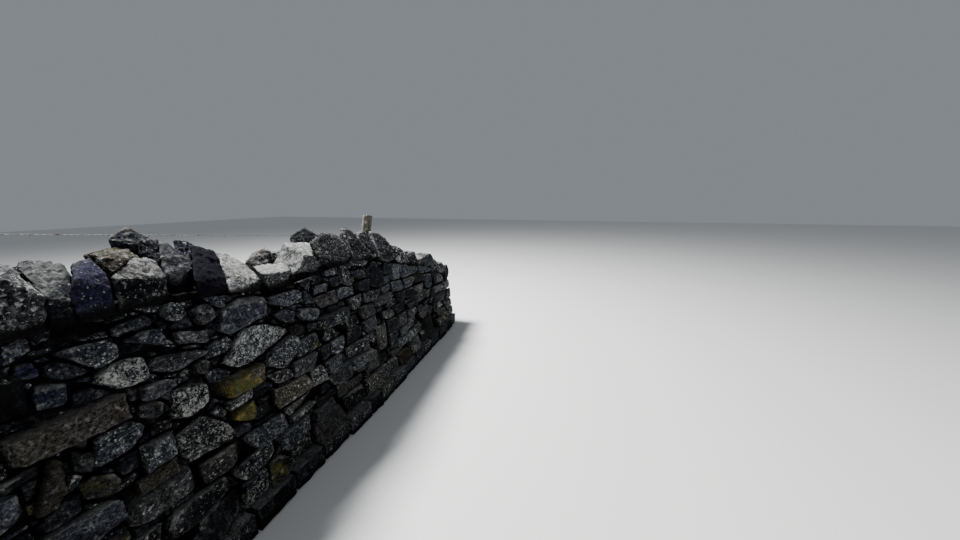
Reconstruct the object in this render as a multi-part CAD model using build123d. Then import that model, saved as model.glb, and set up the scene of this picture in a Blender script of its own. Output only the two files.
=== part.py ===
from build123d import *
import math
import os
import random

# Dry stone field wall in bays, standing on a slope, in millimetres.
# X runs along the wall from its high end to its low end and Z is up from the level base.
# The near face looks towards -Y, and the origin is the middle of the base.

# Wall body, between its two battered faces
bay_length = 1000
low_end_height = 900
# how far the body's top stands over its low end, at each bay line
top_rises = (920, 920, 800, 870, 640, 430, 0)
top_width = 480
# the faces lean in by 1 for this much height
batter = 8
face_depth = 170
head_depth = 300

# Footing stones, a course of separate blocks under each face
footing_height = 200
footing_reach = 60
footing_joint = 8
head_footing_share = 0.8
footings_per_bay = 3

# Through stones, which tie the two faces together
# places as shares of the room that each stone leaves in its bay, and depths under the top
through_shares = (0.15, 0.44, 0.5, 0.4, 0.55, 0.5)
through_depths = (420, 585, 430, 430, 430, 430)
through_widths = (440, 320, 460, 380, 440, 400)
through_thicknesses = (150, 145, 125, 110, 130, 120)
through_rows = (2, 2, 2, 2, 1, 1)
through_row_spacing = 600
lower_through_share = 0.9
through_projection = 40
through_chamfer = 25
lower_through_width = 320

# Cope stones along the top, each made taller than it stands by the seat's share
# so that the body's top cuts it a broad bed
cope_gap = 5
cope_seat = 1.25
# how far below the body's top the foot corners of a shaped stone lie before it is bedded
cope_foot_depth = 40
rubble_cope_height = 255
low_cope_height = 185
rubble_cope_length = 270
leaning_cope_thickness = 165
leaning_cope_height = 350
leaning_cope_angle = -48
leaning_cope_run = 400

# Round timber posts behind the wall, leaning on its far top edge
post_radius = 64
post_lean = 10.8
post_offset = 150
post_spacing = 3780
post_heights = (530, 650)
post_sawn_angle = 14
post_seat_gap = 0.3
post_cope_clearance = 4

# Wire strand held on the far side of the posts
wire_radius = 1.5
wire_drops = (60, 300)
wire_tail = 70

bay_count = len(top_rises) - 1
wall_length = bay_count * bay_length
wall_start = -wall_length / 2
wall_end = wall_length / 2
sides = {"near": -1, "far": 1}
up = Vector(0, 0, 1)

# Cope stones read from the top of the wall, each by the corners of its crown and of its foot.
# Crown corners are distances along and across and heights over the body's top,
# and foot corners are distances along and across, a little below the body's top.
# A stone keeps clear of those before it.
shaped_copes = {
    "pale sloping slab": (
        (
            (430, 40, 335), (585, 40, 310), (630, 40, 290), (575, -270, 155), (450, -300, 270),
            (310, -300, 310), (260, -280, -25),
        ),
        ((435, 20), (415, -295), (565, -260), (615, 0)),
    ),
    "purple boulder": (
        (
            (690, -265, 230), (785, -60, 275), (895, 0, 290), (850, -185, 210), (830, -250, 130),
            (830, -245, 50), (820, -265, -30), (655, -280, 145),
        ),
        ((670, -285), (870, -40), (785, -90)),
    ),
    "gabled block with a pale top": (
        (
            (830, -250, 195), (1020, -120, 275), (1140, -20, 270), (1175, -40, 250), (1120, -200, 160),
            (1040, -250, 150), (1015, -265, 75), (800, -270, -10),
        ),
        ((1075, -230), (1135, -100), (1110, -55)),
    ),
    "right ridge stone": (
        (
            (1325, 120, 380), (1375, 120, 350), (1400, 0, 255), (1355, -100, 190), (1215, -150, 115),
            (1185, -120, 150), (1200, -60, 195),
        ),
        ((1215, 20), (1390, 0), (1380, 110), (1240, 130)),
    ),
    "middle ridge stone": (
        (
            (1200, 120, 360), (1295, 160, 385), (1345, 150, 380), (1340, 80, 305), (1230, -5, 205),
            (1170, 75, 270),
        ),
        ((1330, 95), (1290, 165), (1180, 150), (1190, 60), (1250, 40)),
    ),
    "near black boulder": (
        (
            (1410, 60, 360), (1500, 50, 325), (1585, 0, 305), (1575, -60, 215), (1495, -200, 115),
            (1435, -255, 30), (1165, -280, -25), (1215, -240, 125),
        ),
        ((1410, 20), (1520, -115), (1555, -15)),
    ),
    "brown ridged block": (
        (
            (910, 95, 300), (1100, 205, 330), (1150, 140, 325), (1140, 20, 260), (1075, -20, 255),
            (960, -30, 190),
        ),
        ((935, 55), (965, -20), (1130, 15), (1125, 200), (990, 145)),
    ),
    "left ridge stone": (
        ((1110, 220, 385), (1225, 240, 455), (1285, 170, 390), (1160, 105, 315), (1080, 185, 335)),
        ((1165, 115), (1260, 175), (1230, 215), (1175, 230), (1100, 195)),
    ),
    "pale trapezium": (
        (
            (1805, -100, 170), (1935, -60, 180), (2175, -60, 145), (2155, -140, 95), (1715, -285, 125),
            (2015, -255, 120), (2005, -245, 20), (1785, -275, -85),
        ),
        ((2010, -150), (1875, -165), (1825, -215)),
    ),
    "big flat slab": (
        (
            (2100, 60, 320), (2430, 50, 285), (2635, 20, 245), (2625, -165, 10), (2320, -220, 35),
            (2045, -5, 170), (2100, -200, 230), (2360, -200, 165),
        ),
        ((2570, 10), (2155, 35), (2140, -175)),
    ),
    "speckled boulder": (
        (
            (2475, -85, 280), (2800, 20, 340), (2950, 0, 310), (3025, -100, 175), (2965, -200, 60),
            (2755, -280, 10), (2430, -220, 145),
        ),
        ((2480, -210), (2970, -75), (2785, 0)),
    ),
    "striated slab": (
        (
            (640, 60, 285), (695, 120, 300), (765, 130, 285), (820, 80, 255), (780, -50, 230),
            (670, -275, 105), (575, -270, 155), (540, -260, -25),
        ),
        ((650, -280), (790, 40), (665, 60)),
    ),
    "cracked pale slab": (
        (
            (1675, 120, 280), (1760, 140, 270), (1835, 80, 215), (1830, -20, 170), (1770, -220, 60),
            (1430, -280, 0), (1515, -145, 140),
        ),
        ((1750, -240), (1820, 10), (1750, 115), (1670, 100)),
    ),
    "dark topmost boulder": (
        ((2460, 125, 345), (2710, 165, 390), (2795, 65, 305), (2590, 0, 240), (2410, 60, 280)),
        ((2400, 75), (2595, 10), (2785, 110), (2590, 165)),
    ),
    "pale triangle": (
        (
            (1925, 120, 190), (2050, 160, 255), (2200, 180, 285), (2245, 160, 250), (2125, 80, 140),
            (2000, 80, 160),
        ),
        ((2095, 50), (2200, 180), (1925, 120)),
    ),
    "dark block behind": (
        ((1465, 200, 370), (1580, 225, 360), (1625, 140, 280), (1470, 100, 250), (1425, 140, 300)),
        ((1470, 100), (1625, 140), (1630, 200), (1465, 200)),
    ),
    "first leaning slab": (
        (
            (2915, 0, 320), (3095, 40, 375), (3270, 20, 395), (3350, -220, 80), (3170, -250, 10),
            (2910, -260, 10),
        ),
        ((2995, -35), (3245, -180), (3200, -35)),
    ),
    "second leaning slab": (
        (
            (3440, 50, 360), (3640, 60, 415), (3605, -80, 240), (3475, -240, 70), (3250, -250, -10),
            (3330, -35, 290),
        ),
        ((3560, 0), (3420, 0), (3540, -85)),
    ),
    "third leaning slab": (
        (
            (3685, 60, 420), (3870, 60, 420), (4025, 0, 385), (4020, -120, 250), (3845, -240, 55),
            (3580, -265, -10), (3465, -240, 60),
        ),
        ((3915, -115), (3910, -30), (3715, -5)),
    ),
}

# Plainer cope stones, mostly along the far side:
# distance along, distance across, length, width, height, turn, lean, tip, roundness
plain_copes = (
    (85, -20, 170, 440, 290, 3, 4, 4, 0.35),
    (330, 155, 400, 190, 290, -6, 0, -8, 0.5),
    (650, 180, 320, 130, 270, 8, 0, -6, 0.5),
    (1690, 180, 300, 130, 240, 4, 0, 0, 0.4),
    (1830, 170, 150, 150, 170, 0, 0, 0, 0.5),
    (2330, 160, 260, 160, 220, 5, 0, -6, 0.5),
    (2890, 150, 280, 190, 300, 0, 8, 0, 0.5),
    (3200, 150, 300, 190, 300, 4, 10, 0, 0.5),
    (3480, 150, 260, 190, 330, -4, 6, 0, 0.5),
    (3760, 150, 300, 190, 290, 3, 8, 0, 0.5),
)


def height_at(x):
    # height of the body's top, straight between the bay lines
    place = (x - wall_start) / bay_length
    bay = min(max(int(place), 0), bay_count - 1)
    share = place - bay
    return low_end_height + top_rises[bay] * (1 - share) + top_rises[bay + 1] * share


def bay_line(bay):
    return wall_start + bay * bay_length


def bay_rise(bay):
    return height_at(bay_line(bay + 1)) - height_at(bay_line(bay))


def free_span(bay):
    # the stretch of a bay between the heads that close the wall's ends
    start = bay_line(bay) + (head_depth if bay == 0 else 0)
    end = bay_line(bay + 1) - (head_depth if bay == bay_count - 1 else 0)
    return start, end


def half_width(x, z):
    return top_width / 2 + (height_at(x) - z) / batter


def block(x_range, y_range, z_range):
    size = [high - low for low, high in (x_range, y_range, z_range)]
    centre = [(high + low) / 2 for low, high in (x_range, y_range, z_range)]
    return Pos(*centre) * Box(*size)


def trim(solid, plane):
    # keeps what lies behind the plane
    return split(solid, bisect_by=plane, keep=Keep.BOTTOM)


def flipped(plane):
    return Plane(origin=plane.origin, z_dir=plane.z_dir * -1)


def top_plane(bay):
    x = bay_line(bay)
    return Plane(origin=(x, 0, height_at(x)), z_dir=(-bay_rise(bay), 0, bay_length))


def face_plane(bay, side, inset):
    # battered plane through the bay's top edge, or set back from it
    x = bay_line(bay)
    origin = (x, side * (top_width / 2 - inset), height_at(x))
    return Plane(origin=origin, z_dir=(-bay_rise(bay), side * bay_length * batter, bay_length))


def footing_plane(bay, side, reach):
    # upright plane in front of the face's foot
    x = bay_line(bay)
    origin = (x, side * (half_width(x, footing_height) + reach), 0)
    return Plane(origin=origin, z_dir=(-bay_rise(bay) / batter, side * bay_length, 0))


def widest():
    return max(half_width(x, 0) for x in (wall_start, wall_end)) + footing_reach + post_radius


def tallest():
    return low_end_height + max(top_rises)


def wall_piece(bay, x_range, base):
    # one bay's full section, before it is split into faces and hearting
    piece = block(x_range, (-widest(), widest()), (base, tallest() + 1))
    return trim(piece, top_plane(bay))


def make_throughs(bay):
    # long flat stones across the wall, in one or two rows, with their ends showing
    start, end = free_span(bay)
    index = bay % len(through_widths)
    thickness = through_thicknesses[index]
    depth = through_depths[index]
    rows = [(through_shares[index], through_widths[index], depth)]
    rows.append((lower_through_share, lower_through_width, depth + through_row_spacing))
    stones = []
    for share, width, depth in rows[:through_rows[index]]:
        width = min(width, end - start)
        x = start + width / 2 + (end - start - width) * share
        top = height_at(x) - depth
        bottom = top - thickness
        reach = half_width(x, (top + bottom) / 2) + through_projection
        stone = block((x - width / 2, x + width / 2), (-reach, reach), (bottom, top))
        stones.append(chamfer(stone.edges().filter_by(Axis.Z), through_chamfer))
    return stones


def make_face(bay, side, throughs):
    piece = wall_piece(bay, free_span(bay), footing_height)
    piece = trim(piece, face_plane(bay, side, 0))
    piece = trim(piece, flipped(face_plane(bay, side, face_depth)))
    for stone in throughs:
        piece -= stone
    return [piece]


def make_hearting(bay, throughs):
    piece = wall_piece(bay, free_span(bay), 0)
    for side in sides.values():
        piece = trim(piece, face_plane(bay, side, face_depth))
    for stone in throughs:
        piece -= stone
    return [piece]


def make_footings(bay):
    # blocks of uneven length and reach along the foot of both faces
    dice = random.Random(bay)
    start, end = free_span(bay)
    stones = []
    for side in sides.values():
        shares = [dice.uniform(0.75, 1.25) for each in range(footings_per_bay)]
        x = start
        for share in shares:
            length = (end - start) * share / sum(shares)
            x_range = (x + footing_joint / 2, x + length - footing_joint / 2)
            height = footing_height
            stone = block(x_range, (-widest(), widest()), (0, height))
            reach = footing_reach * dice.uniform(0.55, 1)
            stone = trim(stone, footing_plane(bay, side, reach))
            stones.append(trim(stone, flipped(face_plane(bay, side, face_depth))))
            x += length
    return stones


def make_head(bay):
    # full-depth head that closes the wall's end, over its own footing
    start, end = free_span(bay)
    x_range = (wall_start, start) if bay == 0 else (end, wall_end)
    piece = wall_piece(bay, x_range, footing_height)
    footing = block(x_range, (-widest(), widest()), (0, footing_height))
    for side in sides.values():
        piece = trim(piece, face_plane(bay, side, 0))
        footing = trim(footing, footing_plane(bay, side, footing_reach * head_footing_share))
    return piece, footing


class CopeBlock:
    # a rough block: a box of its own length, width and height with its corners knocked off
    def __init__(self, along, across, length, width, height, turn, lean, tip, roundness):
        full_height = height * cope_seat / math.cos(math.radians(lean))
        self.half_sizes = (length / 2, width / 2, full_height / 2)
        self.roundness = roundness
        turned = Plane(Location((0, 0, 0), (tip, lean, turn)))
        self.axes = (turned.x_dir, turned.y_dir, turned.z_dir)
        x = wall_start + along
        self.centre = Vector(x, across, height_at(x) + height - self.reach(up))

    def reach(self, direction):
        pairs = zip(self.half_sizes, self.axes)
        return sum(half * abs(axis.dot(direction)) for half, axis in pairs)

    def rounded_reach(self, direction):
        pairs = zip(self.half_sizes, self.axes)
        egg = math.sqrt(sum((half * axis.dot(direction)) ** 2 for half, axis in pairs))
        return self.reach(direction) * (1 - self.roundness) + egg * self.roundness

    def solid(self, dice):
        frame = Plane(origin=self.centre, x_dir=self.axes[0], z_dir=self.axes[2])
        stone = frame * Box(*[2 * half for half in self.half_sizes])
        corners = [(i, j, k) for i in (-1, 1) for j in (-1, 1) for k in (-1, 1)]
        edges = [(i, 0, 1) for i in (-1, 1)] + [(0, j, 1) for j in (-1, 1)]
        for signs in corners + dice.sample(edges, 3):
            direction = Vector(0, 0, 0)
            for sign, half, axis in zip(signs, self.half_sizes, self.axes):
                direction += axis * ((sign + dice.uniform(-0.3, 0.3)) / half)
            direction = direction.normalized()
            origin = self.centre + direction * self.rounded_reach(direction) * dice.uniform(0.94, 1.0)
            stone = trim(stone, Plane(origin=origin, z_dir=direction))
        return stone


def hull_planes(points):
    # every plane through three of the points that has all the others behind it
    planes = []
    for i, first in enumerate(points):
        for j, second in enumerate(points[:i]):
            for third in points[:j]:
                square = (second - first).cross(third - first)
                for normal in (square.normalized(), square.normalized() * -1):
                    if max(point.dot(normal) for point in points) < first.dot(normal) + 0.01:
                        planes.append(Plane(origin=first, z_dir=normal))
    return planes


def shaped_solid(crown, foot):
    # a rough stone with flat facets between the corners of its crown and its foot
    points = [Vector(wall_start + along, across, height) for along, across, height in crown]
    points += [Vector(wall_start + along, across, -cope_foot_depth) for along, across in foot]
    points = [point + up * height_at(point.X) for point in points]
    ranges = [(min(values), max(values)) for values in zip(*[tuple(point) for point in points])]
    solid = block(*ranges)
    for plane in hull_planes(points):
        solid = trim(solid, plane)
    return solid


class BeddedStone:
    # a cope stone with the outward directions of its facets, which later stones keep clear of
    def __init__(self, solid):
        self.solid = solid
        self.measure()

    def measure(self):
        self.outward = [face.normal_at() for face in self.solid.faces()]
        self.corners = [Vector(*vertex) for vertex in self.solid.vertices()]

    def reach(self, direction):
        return max(corner.dot(direction) for corner in self.corners)

    def spans(self, x, margin):
        return self.reach(Vector(1, 0, 0)) > x - margin and -self.reach(Vector(-1, 0, 0)) < x + margin

    def cut(self, plane):
        self.solid = trim(self.solid, plane)
        self.measure()

    def part_from(self, other):
        # cut back square to whichever facet of the two stones takes least off the corners
        choices = []
        for direction in other.outward + [outward * -1 for outward in self.outward]:
            limit = other.reach(direction) + cope_gap
            loss = sum(max(limit - corner.dot(direction), 0) for corner in self.corners)
            choices.append((loss, limit, direction))
        loss, limit, direction = min(choices, key=lambda choice: choice[0])
        if loss > 0:
            self.cut(Plane(origin=direction * limit, z_dir=direction * -1))


def cope_solids():
    # the shaped stones, the plain ones, slabs on edge that lean uphill, then two rows of rubble
    dice = random.Random(11)
    solids = []
    along = 0
    for crown, foot in shaped_copes.values():
        end = max(corner[0] for corner in crown)
        if end < wall_length:
            solids.append(shaped_solid(crown, foot))
            along = max(along, end)
    blocks = [entry for entry in plain_copes if entry[0] + entry[2] / 2 < wall_length]
    leaning_end = along + leaning_cope_run
    while along + leaning_cope_thickness < min(leaning_end, wall_length):
        height = leaning_cope_height * dice.uniform(0.88, 1.06)
        lean = leaning_cope_angle + dice.uniform(-6, 6)
        length = leaning_cope_thickness * dice.uniform(0.85, 1.15)
        step = length / math.cos(math.radians(lean))
        width = top_width * dice.uniform(0.86, 1)
        turn = dice.uniform(-6, 6)
        blocks.append((along + step / 2, 0, length, width, height, turn, lean, 0, 0.35))
        along += step
    for side in sides.values():
        place = along
        while place < wall_length - rubble_cope_length / 3:
            length = rubble_cope_length * dice.uniform(0.75, 1.3)
            share = place / wall_length
            height = rubble_cope_height * (1 - share) + low_cope_height * share
            height *= dice.uniform(0.85, 1.2)
            across = side * top_width / 4
            width = top_width / 2 * dice.uniform(0.95, 1.1)
            turn, lean, tip = [dice.uniform(-9, 9) for each in range(3)]
            blocks.append((place + length / 2, across, length, width, height, turn, lean, tip, 0.5))
            place += length
    corner_dice = random.Random(5)
    return solids + [CopeBlock(*entry).solid(corner_dice) for entry in blocks]


def body_outline():
    # everything under the body's top, wider than the copes
    corners = [(bay_line(bay), height_at(bay_line(bay))) for bay in range(bay_count + 1)]
    spare = bay_length
    first = (wall_start - spare, corners[0][1])
    last = (wall_end + spare, corners[-1][1])
    outline = [(first[0], -spare), first, *corners, last, (last[0], -spare)]
    return extrude(Plane.XZ * Polygon(*outline, align=None), amount=widest(), both=True)


def post_frame(index):
    # axis of a post that leans on the far top edge, as a point at the body's top and a direction
    x = wall_start + post_offset + index * post_spacing
    bay = min(int((x - wall_start) / bay_length), bay_count - 1)
    lean = math.radians(post_lean)
    slope = bay_rise(bay) / bay_length
    skew = math.sqrt(1 + (slope * math.sin(lean)) ** 2)
    offset = (post_radius + post_seat_gap) * skew / math.cos(lean)
    point = Vector(x, top_width / 2 + offset, height_at(x))
    return point, Vector(0, -math.sin(lean), math.cos(lean))


def post_point(index, z):
    point, direction = post_frame(index)
    return point + direction * ((z - point.Z) / direction.Z)


def post_top(index):
    return post_frame(index)[0].Z + post_heights[index]


def make_post(index):
    direction = post_frame(index)[1]
    reach = 3 * post_radius
    foot = post_point(index, -reach)
    crown = post_point(index, post_top(index) + reach)
    length = (crown - foot).length
    post = Plane(origin=(foot + crown) / 2, z_dir=direction) * Cylinder(post_radius, length)
    post = trim(post, Plane(origin=(0, 0, 0), z_dir=(0, 0, -1)))
    sawn = Vector(math.tan(math.radians(post_sawn_angle)), 0, 1)
    return trim(post, Plane(origin=post_point(index, post_top(index)), z_dir=sawn))


def post_clearance_plane(index):
    # plane along the post's near side that cope stones keep behind
    point, direction = post_frame(index)
    normal = Vector(0, direction.Z, -direction.Y)
    return Plane(origin=point - normal * (post_radius + post_cope_clearance), z_dir=normal)


def make_wire():
    ends = [post_point(index, post_top(index) - wire_drops[index]) for index in range(2)]
    along = (ends[1] - ends[0]).normalized()
    outward = post_frame(0)[1].cross(along).normalized()
    outward *= math.copysign(1, outward.Y)
    middle = (ends[0] + ends[1]) / 2 + outward * (post_radius + wire_radius + post_seat_gap)
    length = (ends[1] - ends[0]).length + 2 * wire_tail
    return Plane(origin=middle, z_dir=along) * Cylinder(wire_radius, length)


def make_copes():
    # each stone is bedded flat on the body and kept clear of its neighbours and the posts
    body = body_outline()
    stones = []
    for solid in cope_solids():
        stone = BeddedStone(solid - body)
        stone.cut(Plane(origin=(wall_start, 0, 0), z_dir=(-1, 0, 0)))
        stone.cut(Plane(origin=(wall_end, 0, 0), z_dir=(1, 0, 0)))
        for index in range(2):
            if stone.spans(post_frame(index)[0].X, post_radius + post_cope_clearance):
                stone.cut(post_clearance_plane(index))
        for other in stones:
            stone.part_from(other)
        stones.append(stone)
    groups = [[] for bay in range(bay_count)]
    for stone in stones:
        middle = (stone.reach(Vector(1, 0, 0)) - stone.reach(Vector(-1, 0, 0))) / 2
        bay = min(int((middle - wall_start) / bay_length), bay_count - 1)
        groups[bay].append(stone.solid)
    return groups


def save(name, solids):
    pieces = [piece for solid in solids for piece in solid.solids()]
    shape = pieces[0] if len(pieces) == 1 else Compound(children=pieces)
    shape.label = name
    export_step(shape, f"parts/{name}.step")


os.makedirs("parts", exist_ok=True)
copes = make_copes()
for bay in range(bay_count):
    number = bay + 1
    throughs = make_throughs(bay)
    footings = make_footings(bay)
    if bay in (0, bay_count - 1):
        head, head_footing = make_head(bay)
        footings.append(head_footing)
        save("high_end_head" if bay == 0 else "low_end_head", [head])
    save(f"footings_{number}", footings)
    save(f"throughs_{number}", throughs)
    save(f"hearting_{number}", make_hearting(bay, throughs))
    save(f"copes_{number}", copes[bay])
    for name, side in sides.items():
        save(f"{name}_face_{number}", make_face(bay, side, throughs))
for index in range(2):
    save(f"fence_post_{index + 1}", [make_post(index)])
save("wire_strand", [make_wire()])
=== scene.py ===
import math
import bmesh
import bpy
import numpy as np
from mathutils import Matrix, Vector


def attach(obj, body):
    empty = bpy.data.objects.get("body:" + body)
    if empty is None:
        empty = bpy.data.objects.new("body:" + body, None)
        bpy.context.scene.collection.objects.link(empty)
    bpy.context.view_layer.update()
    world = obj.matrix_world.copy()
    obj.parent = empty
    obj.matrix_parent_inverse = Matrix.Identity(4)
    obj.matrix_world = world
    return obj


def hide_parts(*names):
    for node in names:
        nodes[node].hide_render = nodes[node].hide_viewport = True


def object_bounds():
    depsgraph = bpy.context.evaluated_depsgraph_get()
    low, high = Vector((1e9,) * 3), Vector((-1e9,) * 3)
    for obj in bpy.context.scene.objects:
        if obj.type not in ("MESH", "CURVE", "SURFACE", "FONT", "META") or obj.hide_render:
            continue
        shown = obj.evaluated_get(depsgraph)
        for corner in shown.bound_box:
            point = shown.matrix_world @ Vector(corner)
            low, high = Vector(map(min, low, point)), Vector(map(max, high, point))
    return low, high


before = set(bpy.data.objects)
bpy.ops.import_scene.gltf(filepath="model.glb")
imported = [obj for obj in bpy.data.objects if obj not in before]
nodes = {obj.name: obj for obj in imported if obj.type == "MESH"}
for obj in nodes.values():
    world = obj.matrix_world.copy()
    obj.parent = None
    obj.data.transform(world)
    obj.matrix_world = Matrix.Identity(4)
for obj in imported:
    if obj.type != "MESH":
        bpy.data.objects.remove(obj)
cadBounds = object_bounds()
bays = range(1, 1 + sum(name.startswith("near_face_") for name in nodes))
print("frame loaded:", len(nodes), "nodes")


# Camera: the photograph's viewpoint, in metres and degrees, and its focal length in pixels
viewpoint = {
    "place": (-3.4, -2.61, 2.42),
    "towardsFarSide": 15.19,  # turned from straight along the wall
    "lookDown": 11.3,
    "focalPixels": 350,
    "frameSize": (960, 540),
    "sensorWidth": 36,
    "rayRounds": 30,  # rounds that find where a pixel's ray meets the battered face
}


def makeCamera():
    lens = bpy.data.cameras.new("photoCamera")
    lens.sensor_width = viewpoint["sensorWidth"]
    lens.lens = viewpoint["focalPixels"] / viewpoint["frameSize"][0] * viewpoint["sensorWidth"]
    camera = bpy.data.objects.new("photoCamera", lens)
    camera.location = viewpoint["place"]
    turn = viewpoint["towardsFarSide"] - 90
    camera.rotation_euler = (math.radians(90 - viewpoint["lookDown"]), 0, math.radians(turn))
    bpy.context.scene.collection.objects.link(camera)
    bpy.context.scene.camera = camera


def pixelRay(pixel):
    # direction from the camera through a pixel: forwards plus the pixel's offsets over the focal length
    turn, down = math.radians(viewpoint["towardsFarSide"]), math.radians(viewpoint["lookDown"])
    forward = np.array([math.cos(turn) * math.cos(down), math.sin(turn) * math.cos(down), -math.sin(down)])
    right = np.array([math.sin(turn), -math.cos(turn), 0])
    above = np.cross(right, forward)
    width, height = viewpoint["frameSize"]
    aside = (pixel[0] - width / 2) / viewpoint["focalPixels"]
    rise = (height / 2 - pixel[1]) / viewpoint["focalPixels"]
    return forward + aside * right + rise * above


makeCamera()


# Body: its top line, batter and footing height, all read from the frame's nodes
sameLevel = 1e-4  # points this close share a level or a plane, in metres
slopeStep = 0.01


def nodePoints(name):
    mesh = nodes[name].data
    points = np.zeros(len(mesh.vertices) * 3)
    mesh.vertices.foreach_get("co", points)
    return points.reshape(-1, 3)


def readTopLine():
    # places along the wall where its top line bends, and the heights there
    heights = {}
    for name in ["high_end_head", *[f"near_face_{bay}" for bay in bays], "low_end_head"]:
        points = nodePoints(name)
        for x in (points[:, 0].min(), points[:, 0].max()):
            heights[round(float(x), 3)] = points[abs(points[:, 0] - x) < sameLevel, 2].max()
    places = sorted(heights)
    return np.array(places), np.array([heights[x] for x in places])


def readBody():
    # sizes that all bays share, measured on the first one and on a head
    face = nodePoints("near_face_1")
    topEdge = face[face[:, 2] > face[:, 2].max() - sameLevel]
    sizes = {"start": topPlaces[0], "end": topPlaces[-1], "footTop": face[:, 2].min()}
    sizes["topHalf"] = -topEdge[:, 1].min()
    sizes["faceDepth"] = np.ptp(topEdge[:, 1])
    sizes["headDepth"] = np.ptp(nodePoints("high_end_head")[:, 0])
    foot = face[abs(face[:, 2] - sizes["footTop"]) < sameLevel]
    sizes["batter"] = (-foot[:, 1].min() - sizes["topHalf"]) / np.ptp(face[:, 2])
    return sizes


topPlaces, topHeights = readTopLine()
body = readBody()
bayLength = (body["end"] - body["start"]) / len(bays)


def topAt(x):
    return np.interp(x, topPlaces, topHeights)


def topSlope(x):
    x = min(max(x, body["start"] + 2 * slopeStep), body["end"] - 2 * slopeStep)
    return float(topAt(x + slopeStep) - topAt(x - slopeStep)) / (2 * slopeStep)


def halfWidth(x, z):
    # half width = half width at the top + depth under the top line x batter
    return body["topHalf"] + (topAt(x) - z) * body["batter"]


def unit(vector):
    vector = np.asarray(vector, float)
    return vector / np.linalg.norm(vector)


def onFace(side, corners):
    # points of a battered face from their places along the wall and heights
    corners = np.asarray(corners, float)
    return np.stack([corners[:, 0], side * halfWidth(corners[:, 0], corners[:, 1]), corners[:, 1]], 1)


def faceNormal(side, x):
    return unit((-topSlope(x) * body["batter"], side, body["batter"]))


def pixelOnFace(pixel):
    # where a pixel's ray meets the near face: the depth is taken again from the height that it gives
    ray, y = pixelRay(pixel), -body["topHalf"]
    for attempt in range(viewpoint["rayRounds"]):
        point = np.array(viewpoint["place"]) + ray * (y - viewpoint["place"][1]) / ray[1]
        y = -halfWidth(point[0], min(point[2], topAt(point[0])))
    return point[[0, 2]]


# Noise and grids: the surfaces are worked out as whole arrays
noiseField = {
    "slopes": 4096,
    "seed": 3,
    "cellPrimes": (73856093, 19349663, 83492791),  # scatter the cells' places over the list of slopes
    "strength": 1.6,
    "finer": 2.03,  # from one octave to the next
    "shift": 17.3,
}
cellSlopes = np.random.default_rng(noiseField["seed"]).normal(size=(noiseField["slopes"], 3))
cellSlopes /= np.linalg.norm(cellSlopes, axis=1)[:, None]
cellCorners = np.stack(np.meshgrid([0, 1], [0, 1], [0, 1], indexing="ij"), -1).reshape(8, 3)


def smoothNoise(points):
    # each cell corner has a slope of its own: value = sum of (eased share of the corner) x (slope . offset)
    base = np.floor(points).astype(np.int64)
    part = points - base
    ease = part ** 3 * (part * (part * 6 - 15) + 10)
    total = np.zeros(points.shape[:-1])
    for corner in cellCorners:
        scatter = (base + corner) * noiseField["cellPrimes"]
        pick = np.bitwise_xor.reduce(scatter, axis=-1) % noiseField["slopes"]
        share = np.prod(np.where(corner, ease, 1 - ease), axis=-1)
        total += share * np.sum(cellSlopes[pick] * (part - corner), axis=-1)
    return total * noiseField["strength"]


def layeredNoise(points, octaves):
    # octaves of the noise, each about twice as fine and half as strong
    total = np.zeros(points.shape[:-1])
    for octave in range(octaves):
        finer = points * noiseField["finer"] ** octave + noiseField["shift"] * octave
        total += smoothNoise(finer) * 0.5 ** octave
    return total


def boxLattice(steps, crowding=0.3):
    # the six sides of a box as grids from -1 to 1, their shared edges merged and faces outwards, with each
    # place p moved to (1 - c) p + c sin(p pi / 2), which is closer together near the edges
    cells = []
    for axis in range(3):
        first, second = (axis + 1) % 3, (axis + 2) % 3
        grid = np.stack(np.meshgrid(np.arange(steps[first]), np.arange(steps[second]), indexing="ij"), -1)
        grid = grid.reshape(-1, 1, 2) + np.array([[0, 0], [1, 0], [1, 1], [0, 1]])
        for sideEnd in (0, steps[axis]):
            quads = np.zeros(grid.shape[:2] + (3,), int)
            quads[..., first], quads[..., second], quads[..., axis] = grid[..., 0], grid[..., 1], sideEnd
            cells.append(quads if sideEnd else quads[:, ::-1])
    points, index = np.unique(np.concatenate(cells).reshape(-1, 3), axis=0, return_inverse=True)
    points = points / (np.array(steps) / 2) - 1
    points = (1 - crowding) * points + crowding * np.sin(points * math.pi / 2)
    return points, index.reshape(-1, 4)


def buildPiece(name, points, faces, material, standsFor, attributes=None):
    # one mesh object from arrays of points and faces of one kind, with its values for each point
    mesh = bpy.data.meshes.new(name)
    mesh.vertices.add(len(points))
    mesh.vertices.foreach_set("co", np.asarray(points, np.float32).ravel())
    mesh.loops.add(sum(part.size for part in faces))
    mesh.loops.foreach_set("vertex_index", np.concatenate([part.ravel() for part in faces]).astype(np.int32))
    sizes = np.concatenate([np.full(len(part), part.shape[1]) for part in faces]).astype(np.int32)
    mesh.polygons.add(len(sizes))
    mesh.polygons.foreach_set("loop_start", (np.cumsum(sizes) - sizes).astype(np.int32))
    mesh.polygons.foreach_set("loop_total", sizes)
    mesh.polygons.foreach_set("use_smooth", np.full(len(sizes), True))
    mesh.update(calc_edges=True)
    for key, values in (attributes or {}).items():
        kind, field = ("FLOAT_VECTOR", "vector") if values.shape[1] == 3 else ("FLOAT_COLOR", "color")
        layer = mesh.attributes.new(key, kind, "POINT")
        layer.data.foreach_set(field, values.astype(np.float32).ravel())
    mesh.materials.append(material)
    piece = bpy.data.objects.new(name, mesh)
    bpy.context.scene.collection.objects.link(piece)
    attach(piece, "root")
    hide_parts(standsFor)


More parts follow.
